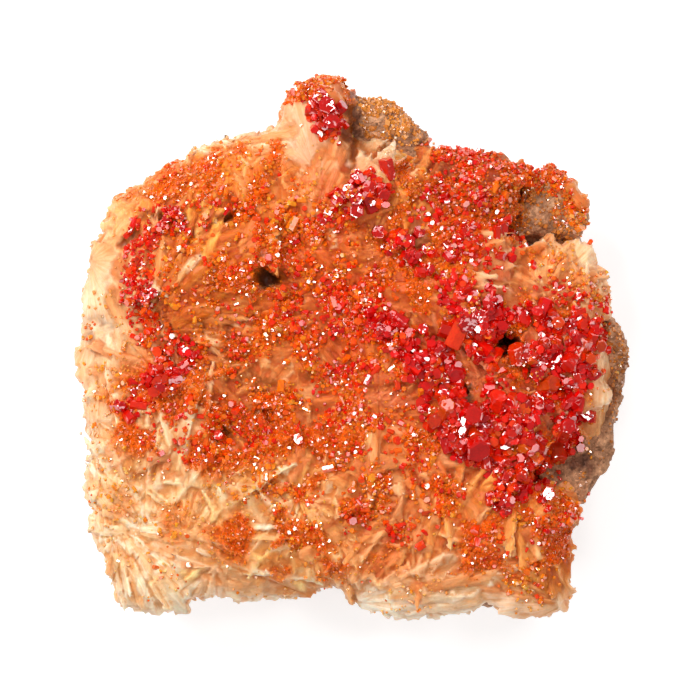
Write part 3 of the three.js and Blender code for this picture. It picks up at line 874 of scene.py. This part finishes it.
def nearest_blades(blades, blade_fibres, points, reach):
    """For each point the nearest blade point within reach, or -1, and its fibre coordinates.

    Of triangles that are equally near the first one counts, so that every run finds the same.
    """
    corners, blade_points = triangles_of(blades), points_of(blades)
    tree = BVHTree.FromPolygons(blade_points.tolist(), corners.tolist())
    owner = np.full(len(points), -1)
    fibres = np.zeros((len(points), 3))
    for i, point in enumerate(points.tolist()):
        place, _, _, away = tree.find_nearest(point, reach)
        if place is not None:
            as_near = tree.find_nearest_range(point, away + SAME_DISTANCE)
            place, _, face, _ = min(as_near, key=lambda found: found[2])
            near = corners[face]
            weight = 1.0 / (np.linalg.norm(blade_points[near] - place, axis=1) + 1e-6)
            weight /= weight.sum()
            owner[i] = near[weight.argmax()]
            fibres[i] = weight @ blade_fibres[near]
    return owner, fibres


def make_crust(settings):
    """The baryte crust with its blades grown together."""
    body = stepped_body(settings)
    blades, blade_fibres = make_blades(settings, surface_tree(body))
    bm = opened(body)
    bm.from_mesh(blades)
    mesh = skinned("baryte_crust", bm, settings.voxel)
    mesh = meshed("baryte_crust", smoothed(opened(mesh), 1))
    raise_laths(mesh, settings)
    mesh = thinned(mesh, settings.most_triangles)
    points, normals, plan, upward = surface_of(mesh)
    fibres = fibre_coordinates(plan)
    tint = lath_tints(plan, fibres)
    owner, near_fibres = nearest_blades(blades, blade_fibres, points, settings.blade_thickness)
    on_blade = owner >= 0
    tint[on_blade] = tints_of(blades)[owner[on_blade]]
    fibres[on_blade] = near_fibres[on_blade]
    tint = crevice_stain_shade_and_highlights(tint, plan, crevice_depth(mesh, points, normals)[:, None])
    tint = side_tints(rusted(tint, plan), points, upward)
    mesh.shade_smooth()
    paint(mesh, np.clip(hollow_stain_and_shade_tints(tint, plan), 0, 0.97))
    layer = mesh.attributes.new("fibre", "FLOAT_VECTOR", "POINT")
    layer.data.foreach_set("vector", fibres.ravel())
    layer = mesh.attributes.new("dust", "FLOAT", "POINT")
    layer.data.foreach_set("value", dustiness(plan) * upward)
    bpy.data.meshes.remove(blades)
    return mesh


def rise_of(edge):
    return abs(edge.verts[0].co.z - edge.verts[1].co.z)


def blade_template(bend, cut):
    """A flat lath along Z, one unit broad, rounded, a little narrower at its root and cut at a slant."""
    bm = bmesh.new()
    bmesh.ops.create_cube(bm, size=1.0)
    bmesh.ops.translate(bm, verts=bm.verts, vec=(0, 0, 0.5))
    chamfered(bm, [e for e in bm.edges if rise_of(e) > 0.5], 0.16)
    long_edges = [e for e in bm.edges if rise_of(e) > 0.5]
    bmesh.ops.subdivide_edges(bm, edges=long_edges, cuts=2, use_grid_fill=True)
    for vert in bm.verts:
        height = vert.co.z
        vert.co.x *= 0.72 + 0.28 * math.sin(0.5 * math.pi * min(1.6 * height, 1.0))
        vert.co.y *= 1.0 - 0.35 * height
        vert.co.z -= cut * vert.co.x if height > 0.9 else 0.0
        vert.co.x += bend * height * height
    return template(bm)


def blade_turns(along, up, length, breadth, thickness, roll):
    """Turns and sizes that lay a blade along a direction, flat when roll is 0."""
    side = unit(np.cross(up, along))
    lift = np.cross(along, side)
    cos, sin = np.cos(roll)[:, None], np.sin(roll)[:, None]
    broad = side * cos + lift * sin
    face = lift * cos - side * sin
    return np.stack([broad * breadth[:, None], face * thickness[:, None], along * length[:, None]], axis=2)


def blade_seats(settings, rng, tree):
    """Blades that lie on the crust, away from their fan's focus: both ends, normal, length and fineness."""
    focus, _, reach = fan_arrays()
    plan = rng.uniform(-HALF_PLAN, HALF_PLAN, (settings.blades, 2))
    plan = plan[rng.uniform(0, 1, len(plan)) > smoothness(plan)]
    owner = fan_of(fibre_coordinates(plan))
    offset = plan - focus[owner]
    angle = np.arctan2(offset[:, 1], offset[:, 0]) + rng.normal(0, 0.05, len(plan))
    heading = headings(angle + 0.22 * plan_noise(plan, scale=0.2, seed=51))
    fine = FINE_BLADES_SIZE + (1 - FINE_BLADES_SIZE) * (1 - patch_weight(plan, *FINE_BLADES))
    length = reach[owner] * rng.uniform(0.5, 1.0, len(plan)) * fine
    low, normal, hit_low = seats(tree, plan)
    _, _, over = seats(tree, plan + heading * (length[:, None] + 1.0))
    length = np.where(over, length, 0.45 * length)
    _, _, over = seats(tree, plan + heading * (length[:, None] + 1.0))
    high, _, hit_high = seats(tree, plan + heading * length[:, None])
    keep = hit_low & hit_high & over & (normal[:, 2] > 0.5) & (hollow_depth(plan) < BLADE_HOLLOW)
    for part in (0.33, 0.66, 1.0):
        along = plan + heading * (part * length)[:, None]
        under, _, _ = seats(tree, along)
        line = low[:, 2] * (1 - part) + high[:, 2] * part
        keep &= (hollow_depth(along) < BLADE_HOLLOW) & (line - under[:, 2] < settings.longest_gap)
    return low[keep], high[keep], normal[keep], length[keep], fine[keep]


def make_blades(settings, tree):
    """A mesh of laths lying like shingles all over the crust, and its fibre coordinates."""
    rng = np.random.default_rng(11)
    low, high, normal, length, fine = blade_seats(settings, rng, tree)
    count = len(low)
    steep = (high[:, 2] - low[:, 2]) / (length * MM)
    high[:, 2] = low[:, 2] + length * MM * (np.clip(steep, -0.5, 0.4) + rng.uniform(-0.01, 0.04, count))
    breadth = settings.blade_breadth * fine * rng.lognormal(0, 0.35, count)
    thickness = settings.blade_thickness * (0.5 + 0.5 * fine) * rng.uniform(0.7, 1.3, count)
    roll = rng.normal(0, 0.2, count)
    run = high - low
    turns = blade_turns(unit(run), normal, np.linalg.norm(run, axis=1), breadth, thickness, roll)
    sink = 0.15 * thickness + 0.25 * breadth * np.abs(np.sin(roll))
    places = low - normal * sink[:, None]
    clear = rng.uniform(0, 1, count)[:, None]
    tints = paler(baryte_tint(low[:, :2] / MM), 1.6 * np.clip(clear - 0.65, 0, 1))
    tints = tints * (1 - np.clip(0.25 - clear, 0, 1) * [0.5, 1.2, 2.0])
    shape_of = rng.integers(0, len(BLADE_SHAPES), count)
    number = rng.uniform(0, 90, count)
    batches, fibres = [], []
    for k, bend_and_cut in enumerate(BLADE_SHAPES):
        mine = shape_of == k
        shape = blade_template(*bend_and_cut)
        across, _, height = shape[0].T
        tint = tints[mine][:, None, :]
        tint = blended(tint * BLADE_ROOT_GAIN, paler(tint, 0.22), height[None, :, None])
        batches.append((shape, turns[mine], places[mine], tint))
        across = breadth[mine][:, None] / MM * across * 1.8
        along = length[mine][:, None] * height
        numbers = np.broadcast_to(number[mine][:, None], along.shape)
        fibres.append(np.stack([across, along, numbers], axis=2).reshape(-1, 3))
    return repeated("blades", batches), np.concatenate(fibres)


# ---------------------------------------------------------------- crystals


def tablet_template(height, chamfer, sides):
    """A prism one unit wide across corners, with its basal faces chamfered."""
    bm = bmesh.new()
    bmesh.ops.create_cone(bm, segments=sides, radius1=0.5, radius2=0.5, depth=height, cap_ends=True)
    if chamfer:
        chamfered(bm, [e for e in bm.edges if rise_of(e) < 1e-6], chamfer)
    return template(bm)


def line_samples(rng, line, half_width, count):
    """Plan points spread about a line, thinning out towards the edges of the band."""
    steps = np.linalg.norm(np.diff(line, axis=0), axis=1)
    ends = np.concatenate([[0], np.cumsum(steps)])
    marks = rng.uniform(0, steps.sum(), count) if len(line) > 1 else np.zeros(count)
    centres = np.stack([np.interp(marks, ends, line[:, k]) for k in range(2)], axis=1)
    radius = half_width * BAND_SPREAD * np.sqrt(rng.uniform(0, 1, count))
    return centres + headings(rng.uniform(0, 2 * math.pi, count)) * radius[:, None]


def band_area(line, half_width):
    length = np.linalg.norm(np.diff(line, axis=0), axis=1).sum()
    return math.pi * (half_width * BAND_SPREAD) ** 2 + length * half_width * (2 * BAND_SPREAD)


def scale_colours(scale, amounts):
    """Display colours along a scale of colours, for amounts from 0 to 1."""
    scale = np.array(scale)
    marks = np.linspace(0, 1, len(scale))
    return np.stack([np.interp(amounts, marks, scale[:, k]) for k in range(3)], axis=1)


def band_seats(rng, tree, bands, crowd, clumping, growth=1.0):
    """Places for crystals along bands: seats, normals, sizes in millimetres and redness."""
    gathered = []
    for line, half_width, per_mm2, size, redness in bands.values():
        line = np.array(line, dtype=float)
        count = int(crowd * per_mm2 * band_area(line, half_width))
        plan = line_samples(rng, line, half_width, count)
        red = redness >= RED_CLUMPS
        clump = plan_noise(plan, scale=0.45, seed=23, octaves=2) if red else druse_clumps(plan)
        plan = plan[1.6 * clump + rng.uniform(-0.9, 0.9, count) > -clumping]
        plan = plan[(hollow_depth(plan) < 0.1) & (rng.uniform(0, 1, len(plan)) > bareness(plan))]
        places, normals, hit = seats(tree, plan)
        hit &= places[:, 2] < HIGHEST_SEAT
        places, normals = places[hit], normals[hit]
        count = len(places)
        sizes = growth * size * rng.lognormal(0, 0.3, count)
        shade = redness - 0.04 + 0.25 * plan_noise(places[:, :2] / MM, scale=0.3, seed=31)
        amounts = np.clip(shade + rng.normal(0, 0.16, count), 0, 1)
        gathered.append((places, normals, sizes, amounts))
    return tuple(np.concatenate(part) for part in zip(*gathered))


def dust_seats(rng, tree, crowd):
    """Places for the orange dust: seats, normals, sizes in millimetres and redness."""
    densest = max(patch[4] for patch in DUST_PATCHES.values())
    tries = int(crowd * densest * (2 * HALF_PLAN) ** 2)
    plan = rng.uniform(-HALF_PLAN, HALF_PLAN, (tries, 2))
    plan = plan[(rng.uniform(0, densest, len(plan)) < dust_density(plan)) & (hollow_depth(plan) < 1.0)]
    places, normals, hit = seats(tree, plan)
    places, normals = places[hit], normals[hit]
    plan, count = places[:, :2] / MM, len(places)
    sizes = rng.uniform(*DUST_SIZES, count)
    shade = 0.1 + 0.3 * np.clip(dust_density(plan) / 6, 0, 1)
    shade = shade + 0.15 * plan_noise(plan, scale=0.2, seed=93, octaves=2)
    return places, normals, sizes, np.clip(shade + rng.normal(0, 0.05, count), 0, 1)


def grown_batches(rng, found, scale, shapes, tilt, sink=0.0, stained=False):
    """Crystals on their seats, one batch for each shape."""
    places, normals, sizes, amounts = found
    count = len(places)
    leaning = tilt * rng.uniform(0, 1, (count, 1)) * unit(rng.normal(size=(count, 3)))
    along = unit(normals + leaning)
    turns = axes_about(along, rng.uniform(0, 2 * math.pi, count)) * (sizes * MM)[:, None, None]
    turns[:, :, 0] *= rng.uniform(0.65, 1.35, (count, 1))
    places = places + along * (sizes * rng.uniform(sink, 0.3, count) * MM)[:, None]
    tints = scale_colours(scale, amounts) * rng.normal(1, 0.05, (count, 1))
    if stained:
        plan = places[:, :2] / MM
        tints = blended(tints, rusted(baryte_tint(plan), plan), 0.45)
    pick = rng.integers(0, len(shapes), count)
    return [
        (tablet_template(*shape), turns[pick == k], places[pick == k], tints[pick == k])
        for k, shape in enumerate(shapes)
    ]


def make_large_crystals(name, bevel):
    """One of the frame's large crystals or clusters, with raised end faces and chamfered edges."""
    bm = merged_copy([name])
    bmesh.ops.dissolve_limit(bm, angle_limit=0.03, verts=bm.verts, edges=bm.edges)
    ends = [f for f in bm.faces if f.normal.z > 0.6 and f.calc_area() > SMALLEST_END]
    bmesh.ops.inset_individual(bm, faces=ends, thickness=3 * bevel, depth=0)
    bmesh.ops.translate(bm, verts=list({v for f in ends for v in f.verts}), vec=(0, 0, -0.9 * bevel))
    bmesh.ops.poke(bm, faces=ends, offset=3.5 * bevel)
    chamfered(bm, [e for e in bm.edges if len(e.link_faces) == 2 and e.calc_face_angle(0) > 0.6], bevel)
    mesh = meshed(name.replace("vanadinite_", "crystals_"), bm)
    mesh.shade_flat()
    amounts = LARGE_REDNESS + 0.15 * lattice_noise(points_of(mesh) / MM * 0.5, 33)
    paint(mesh, scale_colours(VANADINITE_SCALE, np.clip(amounts, 0, 1)))
    return mesh


# ---------------------------------------------------------------- rock


def make_rock(settings):
    """The gossan: broken and rough all over, flat where it rests, darker in its hollows, where shade is painted
    into its colour.
    """
    bm = merged_copy(["matrix_rock"])
    add_swells(bm, ROCK_SWELLS)
    mesh = skinned("matrix_rock_skin", bm, settings.voxel)
    mesh = skinned("matrix_rock_skin", smoothed(opened(mesh), 2), settings.voxel)
    points, normals = points_of(mesh), normals_of(mesh)
    spots = points / MM
    coarse = broken_facets(spots * 0.3, 80) + 0.5 * fractal_noise(spots * 0.5, 2, 81)
    fine = broken_facets(spots * 0.9, 84) + 0.6 * lattice_noise(spots * 1.5, 86)
    lift = settings.coarse_depth * coarse + settings.fine_depth * fine - settings.shrink
    points += normals * lift[:, None]
    points[:, 2] = np.maximum(points[:, 2], 0.0)
    moved(mesh, points)
    mesh.shade_smooth()
    amount = np.clip(0.5 + 0.5 * coarse + 0.35 * fine, 0, 1)[:, None]
    above_flank = np.clip(points[:, 2] / MM - 14.0, 0, 1)
    # painted shade: the rock above the flank is darkened the deeper it lies in a hollow
    painted_hollow_shade = np.clip(hollow_depth(points[:, :2] / MM) / 1.5, 0, 1) * above_flank
    tint = blended(np.array(ROCK_DARK), ROCK_LIGHT, amount)
    paint(mesh, tint * (1 - painted_hollow_shade[:, None] * [0.35, 0.48, 0.58]))
    return mesh


# ---------------------------------------------------------------- shader effects


def feed(tree, made, inputs):
    """Sets the inputs of a node, or links them where a socket is given."""
    for name, value in inputs.items():
        if isinstance(value, bpy.types.NodeSocket):
            tree.links.new(value, made.inputs[name])
        else:
            made.inputs[name].default_value = value


def node(tree, kind, inputs, **settings):
    made = tree.nodes.new("ShaderNode" + kind)
    for key, value in settings.items():
        setattr(made, key, value)
    feed(tree, made, inputs)
    return made


def maths(tree, operation, first, second):
    return node(tree, "Math", {0: first, 1: second}, operation=operation).outputs[0]


def brightened(tree, colour, gain):
    return node(tree, "VectorMath", {0: colour, "Scale": gain}, operation="SCALE").outputs[0]


def multiplied(tree, vector, by):
    return node(tree, "VectorMath", {0: vector, 1: by}, operation="MULTIPLY").outputs[0]


def attribute(tree, name, output):
    return node(tree, "Attribute", {}, attribute_name=name).outputs[output]


def ranged(tree, value, low, high, start=0.0, end=1.0):
    """A value taken from the range start to end over to the range low to high."""
    limits = {"From Min": start, "From Max": end, "To Min": low, "To Max": high}
    return node(tree, "MapRange", {"Value": value, **limits}).outputs["Result"]


def effect_group(name, inputs, outputs):
    """A new node group with its sockets: inputs by name and default, outputs by name."""
    group = bpy.data.node_groups.new(name, "ShaderNodeTree")
    for socket in (*inputs, *outputs):
        kind = "NodeSocketColor" if socket in ("Tint", "Color") else "NodeSocketFloat"
        way = "INPUT" if socket in inputs else "OUTPUT"
        made = group.interface.new_socket(socket, in_out=way, socket_type=kind)
        if inputs.get(socket) is not None:
            made.default_value = inputs[socket]
    return group, group.nodes.new("NodeGroupInput").outputs, group.nodes.new("NodeGroupOutput")


def object_noise(group, scale, detail):
    """The value of a noise texture on the object's own coordinates."""
    place = node(group, "TexCoord", {}).outputs["Object"]
    return node(group, "TexNoise", {"Vector": place, "Scale": scale, "Detail": detail}).outputs["Fac"]


def mottle_effect(name):
    """A tint that varies in brightness in soft patches and in fine flecks."""
    inputs = {"Tint": None, "Patch Scale": 300.0, "Fleck Scale": 2500.0, "Amount": 0.3}
    group, source, target = effect_group(name, inputs, ["Color"])
    patches, flecks = (
        maths(group, "SUBTRACT", object_noise(group, source[scale], 3.0), 0.5)
        for scale in ("Patch Scale", "Fleck Scale")
    )
    swing = maths(group, "MULTIPLY", maths(group, "ADD", patches, flecks), source["Amount"])
    gain = maths(group, "ADD", swing, 1.0)
    feed(group, target, {"Color": brightened(group, source["Tint"], gain)})
    return group


def fibre_effect(name):
    """Lines along the blades, from the fibre coordinates of the mesh."""
    group, source, target = effect_group(name, {"Density": 5.0}, ["Lines"])
    stretched = multiplied(group, attribute(group, "fibre", "Vector"), (1.0, 0.07, 1.0))
    texture = node(group, "TexNoise", {"Vector": stretched, "Scale": source["Density"], "Detail": 2.0})
    feed(group, target, {"Lines": texture.outputs["Fac"]})
    return group


def sugar_effect(name):
    """Sugary grains: a shade for each grain and the height of its facets."""
    group, source, target = effect_group(name, {"Scale": 1800.0}, ["Shade", "Height"])
    place = node(group, "TexCoord", {}).outputs["Object"]
    cells = node(group, "TexVoronoi", {"Vector": place, "Scale": source["Scale"]}).outputs
    shade = node(group, "SeparateColor", {0: cells["Color"]}).outputs[0]
    feed(group, target, {"Shade": shade, "Height": maths(group, "SUBTRACT", 1.0, cells["Distance"])})
    return group


def ripple_effect(name):
    """The height of low growth hillocks on a crystal face."""
    group, source, target = effect_group(name, {"Scale": 1000.0}, ["Height"])
    feed(group, target, {"Height": object_noise(group, source["Scale"], 1.0)})
    return group


EFFECTS = {
    "MottledTint": mottle_effect,
    "FibreLines": fibre_effect,
    "SugarGrain": sugar_effect,
    "GrowthRipple": ripple_effect,
}


def effect(tree, name, inputs):
    """The outputs of one of the shared effects, which is built when it is first used."""
    group = bpy.data.node_groups.get(name) or EFFECTS[name](name)
    return node(tree, "Group", inputs, node_tree=group).outputs


# ---------------------------------------------------------------- materials


def new_material(name):
    material = bpy.data.materials.new(name)
    material.use_nodes = True
    tree = material.node_tree
    return material, tree, next(made for made in tree.nodes if made.type == "BSDF_PRINCIPLED")


def mottled(tree, patch, fleck, amount):
    """The mesh's tint, mottled."""
    inputs = {"Patch Scale": patch, "Fleck Scale": fleck, "Amount": amount}
    return effect(tree, "MottledTint", {"Tint": attribute(tree, "tint", "Color"), **inputs})["Color"]


def bumped(tree, height, strength, distance):
    inputs = {"Height": height, "Strength": strength, "Distance": distance}
    return node(tree, "Bump", inputs).outputs["Normal"]


def baryte_material(name):
    """Pearly baryte: soft light inside, fine lines along the blades, sugary where the dust closes."""
    material, tree, shader = new_material(name)
    tint = mottled(tree, 350.0, 2200.0, 0.35)
    lines = effect(tree, "FibreLines", {"Density": 3.5})["Lines"]
    clearness = ranged(tree, lines, 0.0, 1.0, start=0.36, end=0.64)
    lines_mixed = {
        "Factor": clearness,
        "A": multiplied(tree, tint, STAINED_LINES),
        "B": multiplied(tree, tint, CLEAR_LINES),
    }
    lined = node(tree, "Mix", lines_mixed, data_type="RGBA").outputs["Result"]
    dust = attribute(tree, "dust", "Fac")
    sugar = effect(tree, "SugarGrain", {"Scale": 2000.0})
    shade = maths(tree, "MULTIPLY", ranged(tree, sugar["Shade"], -0.35, 0.35), dust)
    colour = brightened(tree, lined, maths(tree, "ADD", shade, 1.0))
    rough = maths(tree, "MULTIPLY", ranged(tree, lines, 0.55, 0.30), ranged(tree, dust, 1.0, 0.35))
    height = maths(tree, "ADD", lines, maths(tree, "MULTIPLY", sugar["Height"], dust))
    inputs = {
        "Base Color": colour,
        "Roughness": rough,
        "IOR": 1.64,
        "Specular IOR Level": 0.2,
        "Subsurface Weight": 0.6,
        "Subsurface Radius": (0.6, 0.8, 1.0),
        "Subsurface Scale": 1.1 * MM,
        "Normal": bumped(tree, height, 0.7, 0.2 * MM),
    }
    feed(tree, shader, inputs)
    return material


def vanadinite_material(name, transmission, roughness, specular, ripple_depth):
    """Brilliant red to orange crystal with faintly rippled faces."""
    material, tree, shader = new_material(name)
    ripple = effect(tree, "GrowthRipple", {"Scale": 900.0})["Height"]
    inputs = {
        "Base Color": mottled(tree, 500.0, 3000.0, 0.5),
        "Roughness": roughness,
        "IOR": 2.3,
        "Specular IOR Level": specular,
        "Transmission Weight": transmission,
        "Subsurface Weight": 0.6,
        "Subsurface Radius": (1.0, 0.3, 0.1),
        "Subsurface Scale": 0.6 * MM,
        "Normal": bumped(tree, ripple, 0.8, ripple_depth),
    }
    feed(tree, shader, inputs)
    return material


def druse_material(name):
    """Golden-brown druse on the bare rock."""
    material, tree, shader = new_material(name)
    feed(tree, shader, {"Base Color": mottled(tree, 600.0, 3000.0, 0.5), "IOR": 1.9, "Roughness": 0.22})
    return material


def rock_material(name):
    """Brown sugary gossan."""
    material, tree, shader = new_material(name)
    sugar = effect(tree, "SugarGrain", {"Scale": 2200.0})
    gain = ranged(tree, sugar["Shade"], 0.65, 1.35)
    inputs = {
        "Base Color": brightened(tree, mottled(tree, 260.0, 1500.0, 0.6), gain),
        "Roughness": ranged(tree, sugar["Shade"], 0.95, 0.55),
        "Normal": bumped(tree, sugar["Height"], 0.8, 0.3 * MM),
    }
    feed(tree, shader, inputs)
    return material


def floor_material(colour, glow):
    material, tree, shader = new_material("floor")
    lit = {"Emission Color": (1.0, 1.0, 1.0, 1.0), "Emission Strength": glow}
    feed(tree, shader, {"Base Color": (*colour, 1.0), "Roughness": 0.9, **lit})
    return material


# ---------------------------------------------------------------- settings


def length_setting(name, description, millimetres):
    return FloatProperty(name=name, description=description, default=millimetres * MM, unit="LENGTH")


class StageSettings(bpy.types.PropertyGroup):
    camera_height: length_setting("Camera Height", "Height of the lens over the floor", 720.0)
    view_width: length_setting("View Width", "Width of what the camera sees at mid height", 114.3)
    key_brightness: FloatProperty(
        name="Key", description="Brightness of the main softbox, where white paper is about 1", default=12.4
    )
    surround: FloatProperty(
        name="Surround", description="Brightness of the tent between the softboxes", default=0.13
    )
    floor_glow: FloatProperty(name="Floor Glow", description="Light given off by the lit floor", default=0.59)
    floor_colour: FloatVectorProperty(
        name="Floor", description="Colour of the floor", default=(0.6, 0.6, 0.6), subtype="COLOR", size=3
    )


class RockSettings(bpy.types.PropertyGroup):
    voxel: length_setting("Voxel", "Size of the skin's faces", 0.62)
    coarse_depth: length_setting("Coarse Depth", "Depth of the big breaks", 0.55)
    fine_depth: length_setting("Fine Depth", "Depth of the grain", 0.18)
    shrink: length_setting("Shrink", "Inset that keeps the relief inside the frame", 0.25)


class BaryteSettings(bpy.types.PropertyGroup):
    heal_voxel: length_setting("Healing Voxel", "Size of the faces while seams are healed", 0.6)
    heal_reach: length_setting("Healing Reach", "Half the width of the seams that heal over", 0.9)
    body_voxel: length_setting("Body Voxel", "Size of the faces of the body", 0.45)
    voxel: length_setting("Voxel", "Size of the crust's faces", 0.26)
    most_triangles: IntProperty(name="Most Triangles", description="Triangles kept in the crust", default=197000)
    fan_rise: length_setting("Fan Rise", "Rise of a fan from its root to its tips", 1.6)
    lath_depth: length_setting("Lath Depth", "Step from lath to lath", 0.21)
    broken_depth: length_setting("Broken Depth", "Depth of the facets of broken sides", 1.5)
    lump_depth: length_setting("Lump Depth", "Depth of the lumps", 0.4)
    shrink: length_setting("Shrink", "Inset that keeps the relief inside the frame", 0.2)
    blades: IntProperty(name="Blades", description="Blades tried on the plan", default=1400)
    blade_breadth: length_setting("Blade Breadth", "Mean breadth of a blade", 1.8)
    blade_thickness: length_setting("Blade Thickness", "Mean thickness of a blade", 0.75)
    longest_gap: length_setting("Longest Gap", "Room a blade may leave under it", 1.2)


class VanadiniteSettings(bpy.types.PropertyGroup):
    crowd: FloatProperty(name="Crowd", description="Multiplies the number of strewn crystals", default=1.0)
    bevel: length_setting("Bevel", "Chamfer on the edges of large crystals", 0.07)
    seed: IntProperty(name="Seed", description="Seed of the strewing", default=5)


# ---------------------------------------------------------------- operators


class SPECIMEN_OT_rock(bpy.types.Operator):
    """Make the gossan that carries the crust"""

    bl_idname = "specimen.rock"
    bl_label = "Rock"

    def execute(self, context):
        mesh = make_rock(context.scene.specimen_rock)
        place_piece("rock_gossan", mesh, rock_material("gossan"), ["matrix_rock"])
        return {"FINISHED"}


class SPECIMEN_OT_baryte(bpy.types.Operator):
    """Make the baryte crust with its blades"""

    bl_idname = "specimen.baryte"
    bl_label = "Baryte"

    def execute(self, context):
        crust = make_crust(context.scene.specimen_baryte)
        place_piece("baryte_crust", crust, baryte_material("baryte"), BARYTE_NODES)
        return {"FINISHED"}


class SPECIMEN_OT_large_crystals(bpy.types.Operator):
    """Finish the large vanadinite crystals and clusters"""

    bl_idname = "specimen.large_crystals"
    bl_label = "Large Crystals"

    def execute(self, context):
        material = vanadinite_material("vanadinite_large", 0.2, 0.06, 0.42, 0.16 * MM)
        for name in CRYSTAL_NODES:
            mesh = make_large_crystals(name, context.scene.specimen_vanadinite.bevel)
            place_piece(mesh.name, mesh, material, [name])
        return {"FINISHED"}


class SPECIMEN_OT_druse(bpy.types.Operator):
    """Strew the small vanadinite crystals over the crust"""

    bl_idname = "specimen.druse"
    bl_label = "Vanadinite Druse"

    def execute(self, context):
        settings = context.scene.specimen_vanadinite
        grown = ("baryte_crust", "crystals_")
        crust = [piece.data for piece in bpy.data.objects if piece.name.startswith(grown)]
        tree = surface_tree(bpy.data.objects["rock_gossan"].data, *crust)
        rng = np.random.default_rng(settings.seed)
        red = {name: band for name, band in VANADINITE_BANDS.items() if band[4] >= MEDIUM_REDNESS}
        found = band_seats(rng, tree, red, MEDIUM_SHARE * settings.crowd, 0.5, growth=1.7)
        batches = grown_batches(rng, found, VANADINITE_SCALE, MEDIUM_SHAPES, 3.0, sink=-0.1)
        clear = bpy.data.materials["vanadinite_large"]
        place_piece("vanadinite_medium", repeated("medium", batches), clear)
        found = band_seats(rng, tree, VANADINITE_BANDS, settings.crowd, 0.35)
        strewn = {"druse": grown_batches(rng, found, VANADINITE_SCALE, SMALL_SHAPES, 3.0)}
        found = dust_seats(rng, tree, settings.crowd)
        strewn["dust"] = grown_batches(rng, found, VANADINITE_SCALE, DUST_SHAPES, 2.5, stained=True)
        material = vanadinite_material("vanadinite_small", 0.0, 0.09, 0.36, 0.06 * MM)
        for kind, batches in strewn.items():
            for number, batch in enumerate(batches):
                mesh = repeated(f"{kind}_{number}", [batch])
                place_piece(f"vanadinite_{kind}_{number}", mesh, material)
        return {"FINISHED"}


class SPECIMEN_OT_golden_druse(bpy.types.Operator):
    """Strew golden-brown druse over the bare rock"""

    bl_idname = "specimen.golden_druse"
    bl_label = "Golden Druse"

    def execute(self, context):
        tree = surface_tree(bpy.data.objects["rock_gossan"].data)
        rng = np.random.default_rng(9)
        found = band_seats(rng, tree, GOLD_BANDS, 1.0, 0.6)
        mesh = repeated("golden_druse", grown_batches(rng, found, GOLD_SCALE, GOLD_SHAPES, 2.5))
        place_piece("golden_druse", mesh, druse_material("gold_druse"))
        return {"FINISHED"}


class SPECIMEN_OT_stage(bpy.types.Operator):
    """Set the floor, the lights and the camera"""

    bl_idname = "specimen.stage"
    bl_label = "Stage"

    def execute(self, context):
        scene, settings = context.scene, context.scene.specimen_stage
        scene.view_settings.view_transform = "Standard"
        world = bpy.data.worlds.new("tent")
        world.use_nodes = True
        inputs = {"Color": (1.0, 1.0, 1.0, 1.0), "Strength": settings.surround}
        feed(world.node_tree, world.node_tree.nodes["Background"], inputs)
        scene.world = world
        bm = bmesh.new()
        bmesh.ops.create_grid(bm, x_segments=1, y_segments=1, size=1.5)
        mesh = meshed("floor", bm)
        mesh.materials.append(floor_material(settings.floor_colour, settings.floor_glow))
        floor = bpy.data.objects.new("floor", mesh)
        scene.collection.objects.link(floor)
        for name, (place, size, share) in SOFTBOXES.items():
            self.add_light(scene, name, place, size, share * settings.key_brightness)
        middle_height = 0.5 * (CAD_BOUNDS[0][2] + CAD_BOUNDS[1][2])
        camera = bpy.data.cameras.new("camera")
        distance = settings.camera_height - middle_height
        camera.lens = camera.sensor_width * distance / settings.view_width
        viewer = bpy.data.objects.new("camera", camera)
        viewer.location = (-0.6 * MM, 0.0, settings.camera_height)
        scene.collection.objects.link(viewer)
        scene.camera = viewer
        return {"FINISHED"}

    def add_light(self, scene, name, place, size, brightness):
        """Adds a square softbox aimed at the specimen, as bright as asked wherever it is seen."""
        lamp = bpy.data.lights.new(name, "AREA")
        lamp.size = size
        lamp.energy = brightness * size * size * math.pi
        light = bpy.data.objects.new(name, lamp)
        light.location = place
        light.rotation_euler = (-Vector(place)).to_track_quat("-Z", "Y").to_euler()
        scene.collection.objects.link(light)


class SPECIMEN_PT_panel(bpy.types.Panel):
    bl_idname = "SPECIMEN_PT_panel"
    bl_label = "Specimen"
    bl_space_type = "VIEW_3D"
    bl_region_type = "UI"
    bl_category = "Specimen"

    def draw(self, context):
        for operator in OPERATORS:
            self.layout.operator(operator.bl_idname)
        for name in SETTINGS:
            settings = getattr(context.scene, name)
            for key in settings.__annotations__:
                self.layout.prop(settings, key)


SETTINGS = {
    "specimen_stage": StageSettings,
    "specimen_rock": RockSettings,
    "specimen_baryte": BaryteSettings,
    "specimen_vanadinite": VanadiniteSettings,
}
OPERATORS = (
    SPECIMEN_OT_stage,
    SPECIMEN_OT_rock,
    SPECIMEN_OT_baryte,
    SPECIMEN_OT_large_crystals,
    SPECIMEN_OT_druse,
    SPECIMEN_OT_golden_druse,
)


def register():
    for name, group in SETTINGS.items():
        bpy.utils.register_class(group)
        setattr(bpy.types.Scene, name, PointerProperty(type=group))
    for cls in (*OPERATORS, SPECIMEN_PT_panel):
        bpy.utils.register_class(cls)


def unregister():
    for cls in (SPECIMEN_PT_panel, *reversed(OPERATORS)):
        bpy.utils.unregister_class(cls)
    for name, group in SETTINGS.items():
        delattr(bpy.types.Scene, name)
        bpy.utils.unregister_class(group)


def main():
    register()
    bpy.ops.specimen.stage()
    bpy.ops.specimen.rock()
    bpy.ops.specimen.baryte()
    bpy.ops.specimen.large_crystals()
    bpy.ops.specimen.druse()
    bpy.ops.specimen.golden_druse()


if __name__ == "__main__":
    main()
